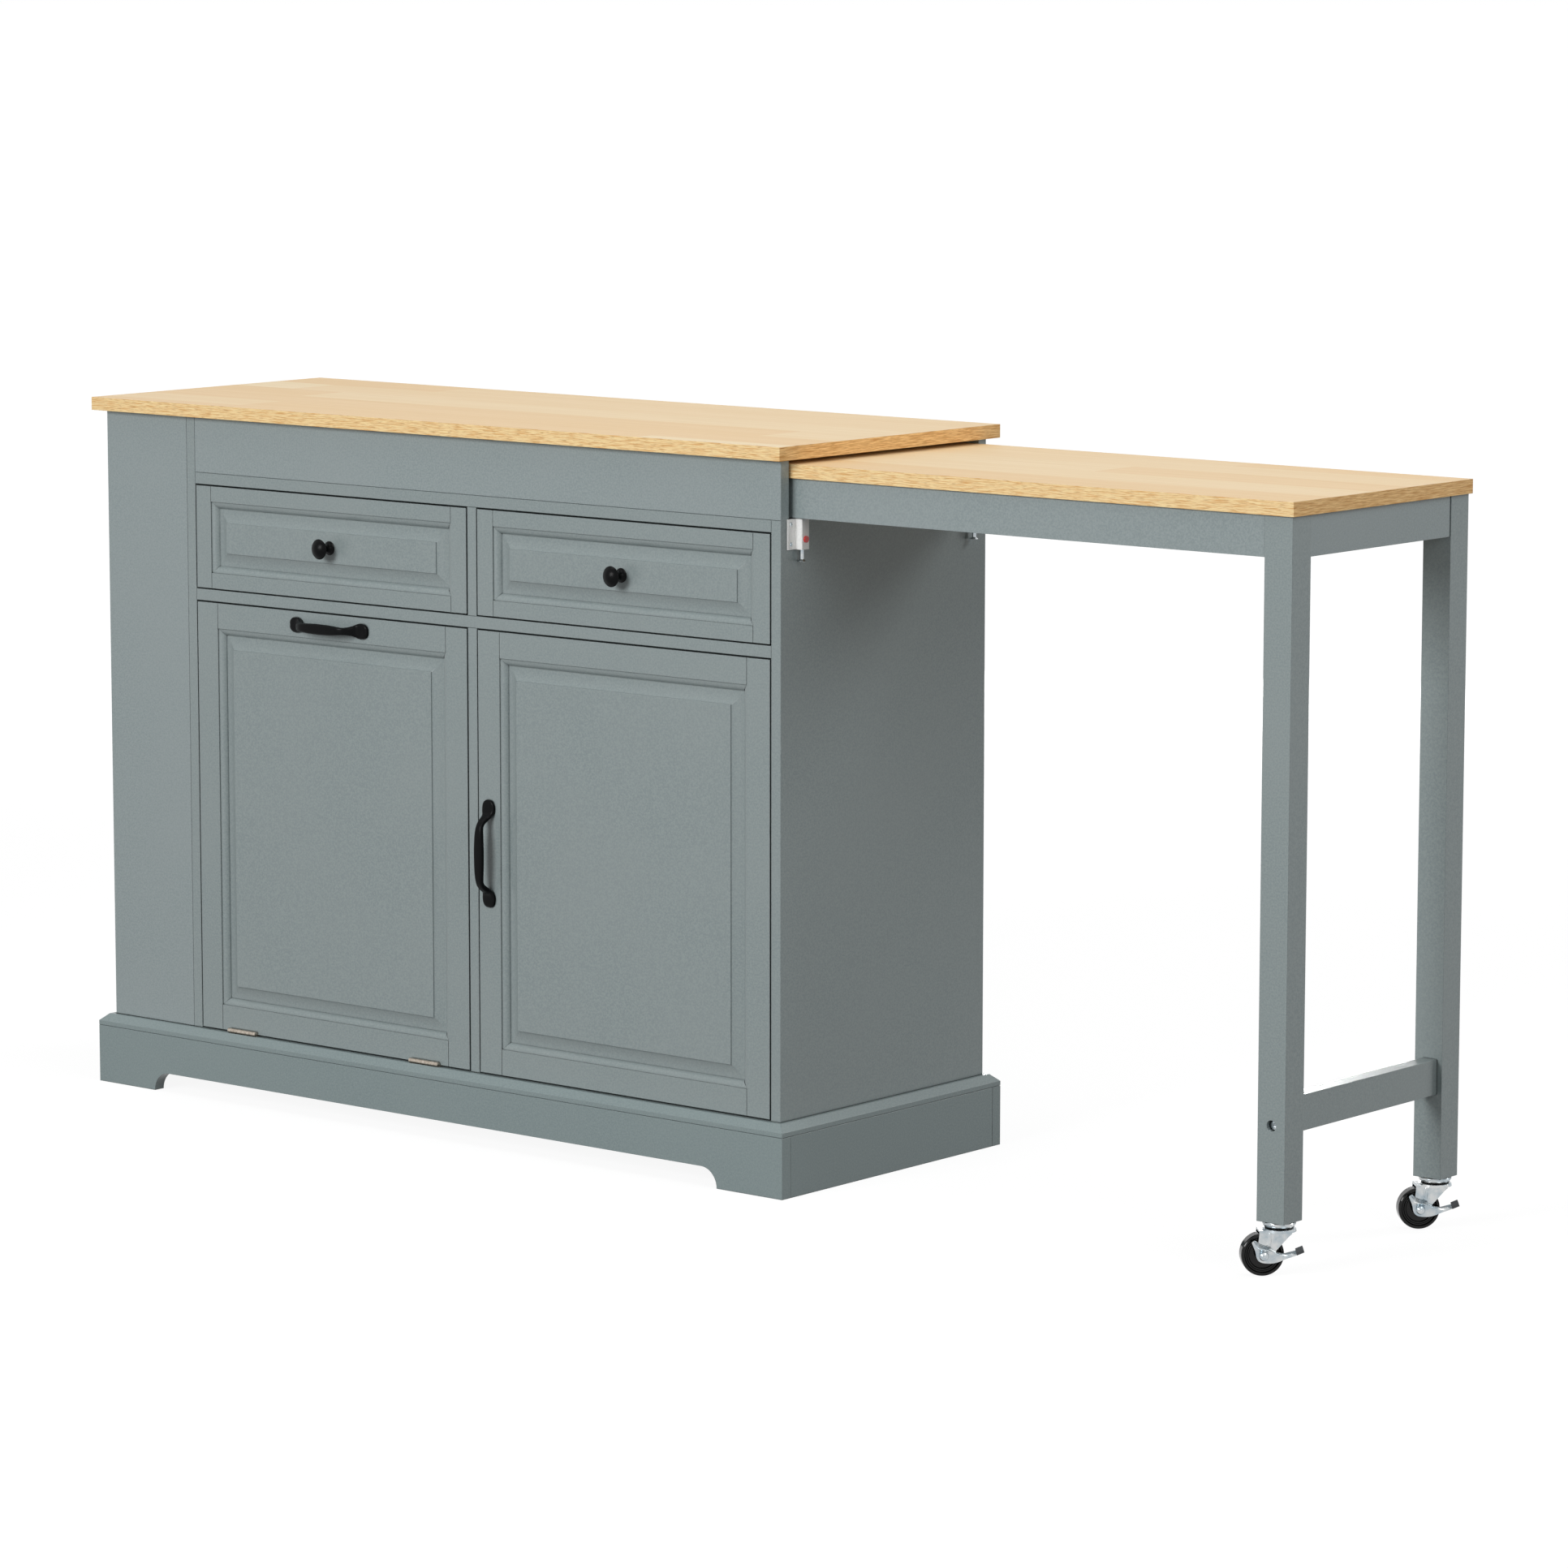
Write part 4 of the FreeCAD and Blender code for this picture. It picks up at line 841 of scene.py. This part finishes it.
# Bow pulls, cast in one sweep: a round foot runs through a neck into a flat-faced grip that swells
pull = {
    "smoothing": 2,
    # mm in from the tip, mm out from the door, lean in degrees, half width, half thickness
    "sections": [
        (-0.5, 1.6, 0, 4.2, 1.2),
        (1.3, 2.0, 0, 6.8, 1.9),
        (4.2, 2.2, 0, 9.3, 2.2),
        (9.0, 2.2, 0, 10.4, 2.2),
        (14.5, 2.4, 4, 10.3, 2.4),
        (19.0, 3.8, 32, 8.4, 3.0),
        (22.0, 7.2, 56, 6.6, 3.4),
        (24.8, 12.0, 58, 5.4, 3.5),
        (28.2, 16.4, 42, 4.8, 3.6),
        (33.0, 19.0, 16, 5.0, 3.7),
        (40.0, 19.9, 4, 6.0, 3.9),
        (52.0, 20.1, 1, 6.9, 4.1),
        (68.0, 20.2, 0, 7.2, 4.2),
    ],
    "profile": [  # half of a section, from the middle of its outer face to the middle of its back
        (0.0, 1.0), (0.5, 1.0), (0.84, 0.9), (1.0, 0.3), (0.94, -0.5), (0.6, -1.0), (0.0, -1.0),
    ],
}


def makePull(door, upright):
    low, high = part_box(door + "_pull")
    middle = (low + high) / 2
    half = (high.z - low.z if upright else high.x - low.x) / 2
    profile = pull["profile"] + [(-x, t) for x, t in reversed(pull["profile"][1:-1])]

    def ring(section, side):
        inward, out, lean, width, thick = section
        lean = math.radians(lean)
        points = []
        for x, t in profile:
            along = side * (half - mm(inward - t * thick * math.sin(lean)))
            across = mm(x * width)
            y = high.y - mm(out + t * thick * math.cos(lean))
            points.append(Vector((middle.x + across, y, middle.z + along)) if upright
                          else Vector((middle.x + along, y, middle.z + across)))
        return points

    rings = [ring(section, -1) for section in pull["sections"]]
    rings += [ring(section, 1) for section in reversed(pull["sections"][:-1])]
    piece = lofted(door + "BowPull", rings, True, True)
    smoothed(piece, pull["smoothing"])
    finished(piece, door, "blackPowderCoat")
    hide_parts(door + "_pull")


makePull("tilt_door", False)
makePull("storage_door", True)
print("pulls cast")

# Shoulders that the cutter leaves round each raised field: a low step whose foot takes a fine line
shoulder = {
    "steps": [  # mm outside the field, mm proud
        (0.5, -0.3), (0.45, 0.1), (0.3, 1.05), (0.15, 1.24), (-0.1, 1.3),
    ],
    "panelInset": 25.0,  # tongue and cove of the door panels
    "frontInset": (53.0, 47.0),  # stile or rail, moulding and cove of the drawer fronts
    "fieldSetback": 2.3,
}


def makeShoulder(body, node, insetX, insetZ, setback):
    low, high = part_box(node)
    rings = []
    for outside, proud in shoulder["steps"]:
        y = low.y + mm(setback - proud)
        left, right = low.x + mm(insetX - outside), high.x - mm(insetX - outside)
        foot, head = low.z + mm(insetZ - outside), high.z - mm(insetZ - outside)
        rings.append([Vector((left, y, foot)), Vector((right, y, foot)),
                      Vector((right, y, head)), Vector((left, y, head))])
    piece = lofted("panelShoulder_" + body, rings, True, True)
    for face in piece.data.polygons:
        face.use_smooth = False
    finished(piece, body, "satinPaint")


for door in ("tilt_door", "storage_door"):
    makeShoulder(door, door + "_panel", shoulder["panelInset"], shoulder["panelInset"], 0.0)
for side in ("left", "right"):
    makeShoulder("drawer_" + side, "drawer_front_" + side, *shoulder["frontInset"],
                 shoulder["fieldSetback"])
print("shoulders cut")

bpy.context.scene.view_settings.view_transform = "Standard"
